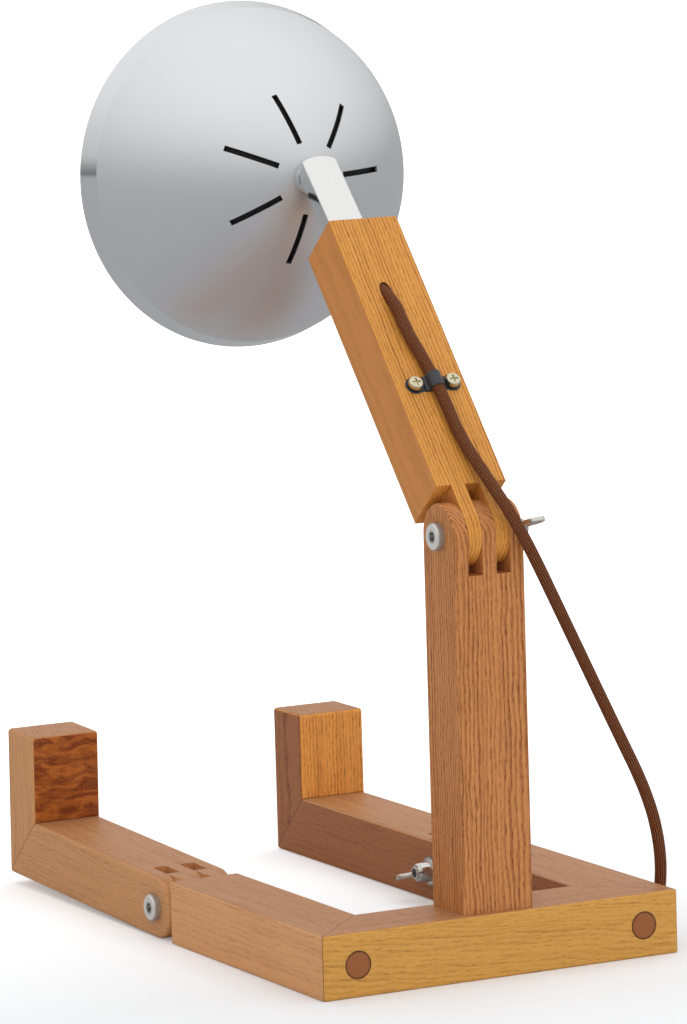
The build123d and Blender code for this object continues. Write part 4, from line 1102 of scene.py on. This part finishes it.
dress("switch_rocker", plastic("rocker_gloss", srgb(60, 46, 40), 0.2, relief=0.00001))
# The dish behind the slots is black as painted shade.
dress(painted_shade_dish, plastic("painted_shade_black", (0.006, 0.006, 0.006), 0.7))
dress("hank_tie", plastic("tie_rubber", srgb(30, 29, 28), 0.6))
dress("lamp_holder", plastic("holder_ceramic", srgb(228, 222, 208), 0.3, scale=700.0, relief=0.00002))
dress("bulb_body", metal("bulb_silver", (0.78, 0.78, 0.80), 0.2))
dress("bulb_lens", glass("bulb_glass", (0.95, 0.96, 0.97), 0.08))
cover = braid()
dress(run_cord, cover)
dress(spare, cover)


# ---------- stage and light ----------
FLOOR_SIZE = 60.0
SUN_ENERGY = 0.95
FILL_ENERGY = 0.75
FLOOR_FADE = (0.02, 0.7)
AMBIENT = 0.62
# What glossy rays see, from below to above: a grey floor, a dark band at the horizon, a white ceiling.
STUDIO = ((0.42, 0.42), (0.465, 0.16), (0.50, 0.16), (0.56, 0.60), (0.75, 0.85), (0.95, 1.0))


def make_floor():
    """Pale floor that keeps the shadows, lifted a little towards white for the camera, and grey to
    reflections as painted shade of the floor under the lamp.
    """
    made, tree, shader = material("floor")
    half = FLOOR_SIZE / 2
    corners = [(-half, -half, 0), (half, -half, 0), (half, half, 0), (-half, half, 0)]
    floor = mesh_object("floor", corners, [(0, 1, 2, 3)])
    path = node(tree, "ShaderNodeLightPath")
    shader.inputs["Roughness"].default_value = 0.9
    shader.inputs["Specular IOR Level"].default_value = 0.1
    # Grey for glossy rays only: painted shade of the floor under the lamp, seen in reflections.
    colour = mix(tree, path.outputs["Is Glossy Ray"], (0.87, 0.885, 0.90), (0.42, 0.42, 0.43))
    link(tree, colour, shader.inputs["Base Color"])
    shader.inputs["Emission Color"].default_value = (1.0, 1.0, 1.0, 1.0)
    coordinates = node(tree, "ShaderNodeTexCoord")
    away = node(tree, "ShaderNodeVectorMath", operation="DOT_PRODUCT")
    link(tree, coordinates.outputs["Object"], away.inputs[0])
    away.inputs[1].default_value = (0.0, -1.0, 0.0)
    start, end = FLOOR_FADE
    far = math(tree, "DIVIDE", math(tree, "SUBTRACT", away.outputs["Value"], start), end - start, clamp=True)
    lift = math(tree, "ADD", 0.075, math(tree, "MULTIPLY", far, 0.55))
    lift = math(tree, "MULTIPLY", path.outputs["Is Camera Ray"], lift)
    link(tree, lift, shader.inputs["Emission Strength"])
    dress(floor, made)
    floor.location.z = -0.00002


def make_world():
    """White to the camera, even light on the object, and a soft studio gradient for what is glossy."""
    world = bpy.data.worlds.new("studio")
    world.use_nodes = True
    tree = world.node_tree
    background = tree.nodes["Background"]
    coordinates = node(tree, "ShaderNodeTexCoord")
    split = node(tree, "ShaderNodeSeparateXYZ")
    link(tree, coordinates.outputs["Generated"], split.inputs[0])
    height = math(tree, "ADD", math(tree, "MULTIPLY", split.outputs[2], 0.5), 0.5)
    seen = ramp(tree, height, STUDIO)
    path = node(tree, "ShaderNodeLightPath")
    colour = mix(tree, path.outputs["Is Camera Ray"], (AMBIENT, AMBIENT, AMBIENT), (1.0, 1.0, 1.0))
    glossy = math(tree, "MAXIMUM", path.outputs["Is Glossy Ray"], path.outputs["Is Transmission Ray"])
    colour = mix(tree, glossy, colour, seen)
    link(tree, colour, background.inputs["Color"])
    background.inputs["Strength"].default_value = 1.0
    bpy.context.scene.world = world


def make_sun(name, direction, energy, angle):
    data = bpy.data.lights.new(name, "SUN")
    data.energy = energy
    data.angle = radians(angle)
    lamp = bpy.data.objects.new(name, data)
    lamp.rotation_mode = "QUATERNION"
    lamp.rotation_quaternion = Vector(direction).to_track_quat("Z", "Y")
    lamp.visible_glossy = False
    bpy.context.scene.collection.objects.link(lamp)


make_floor()
make_world()
make_sun("overhead", (-0.25, -0.15, 1.0), SUN_ENERGY, 60.0)
make_sun("camera_side", (0.35, 1.0, 0.45), FILL_ENERGY, 70.0)
bpy.context.scene.view_settings.view_transform = "Standard"
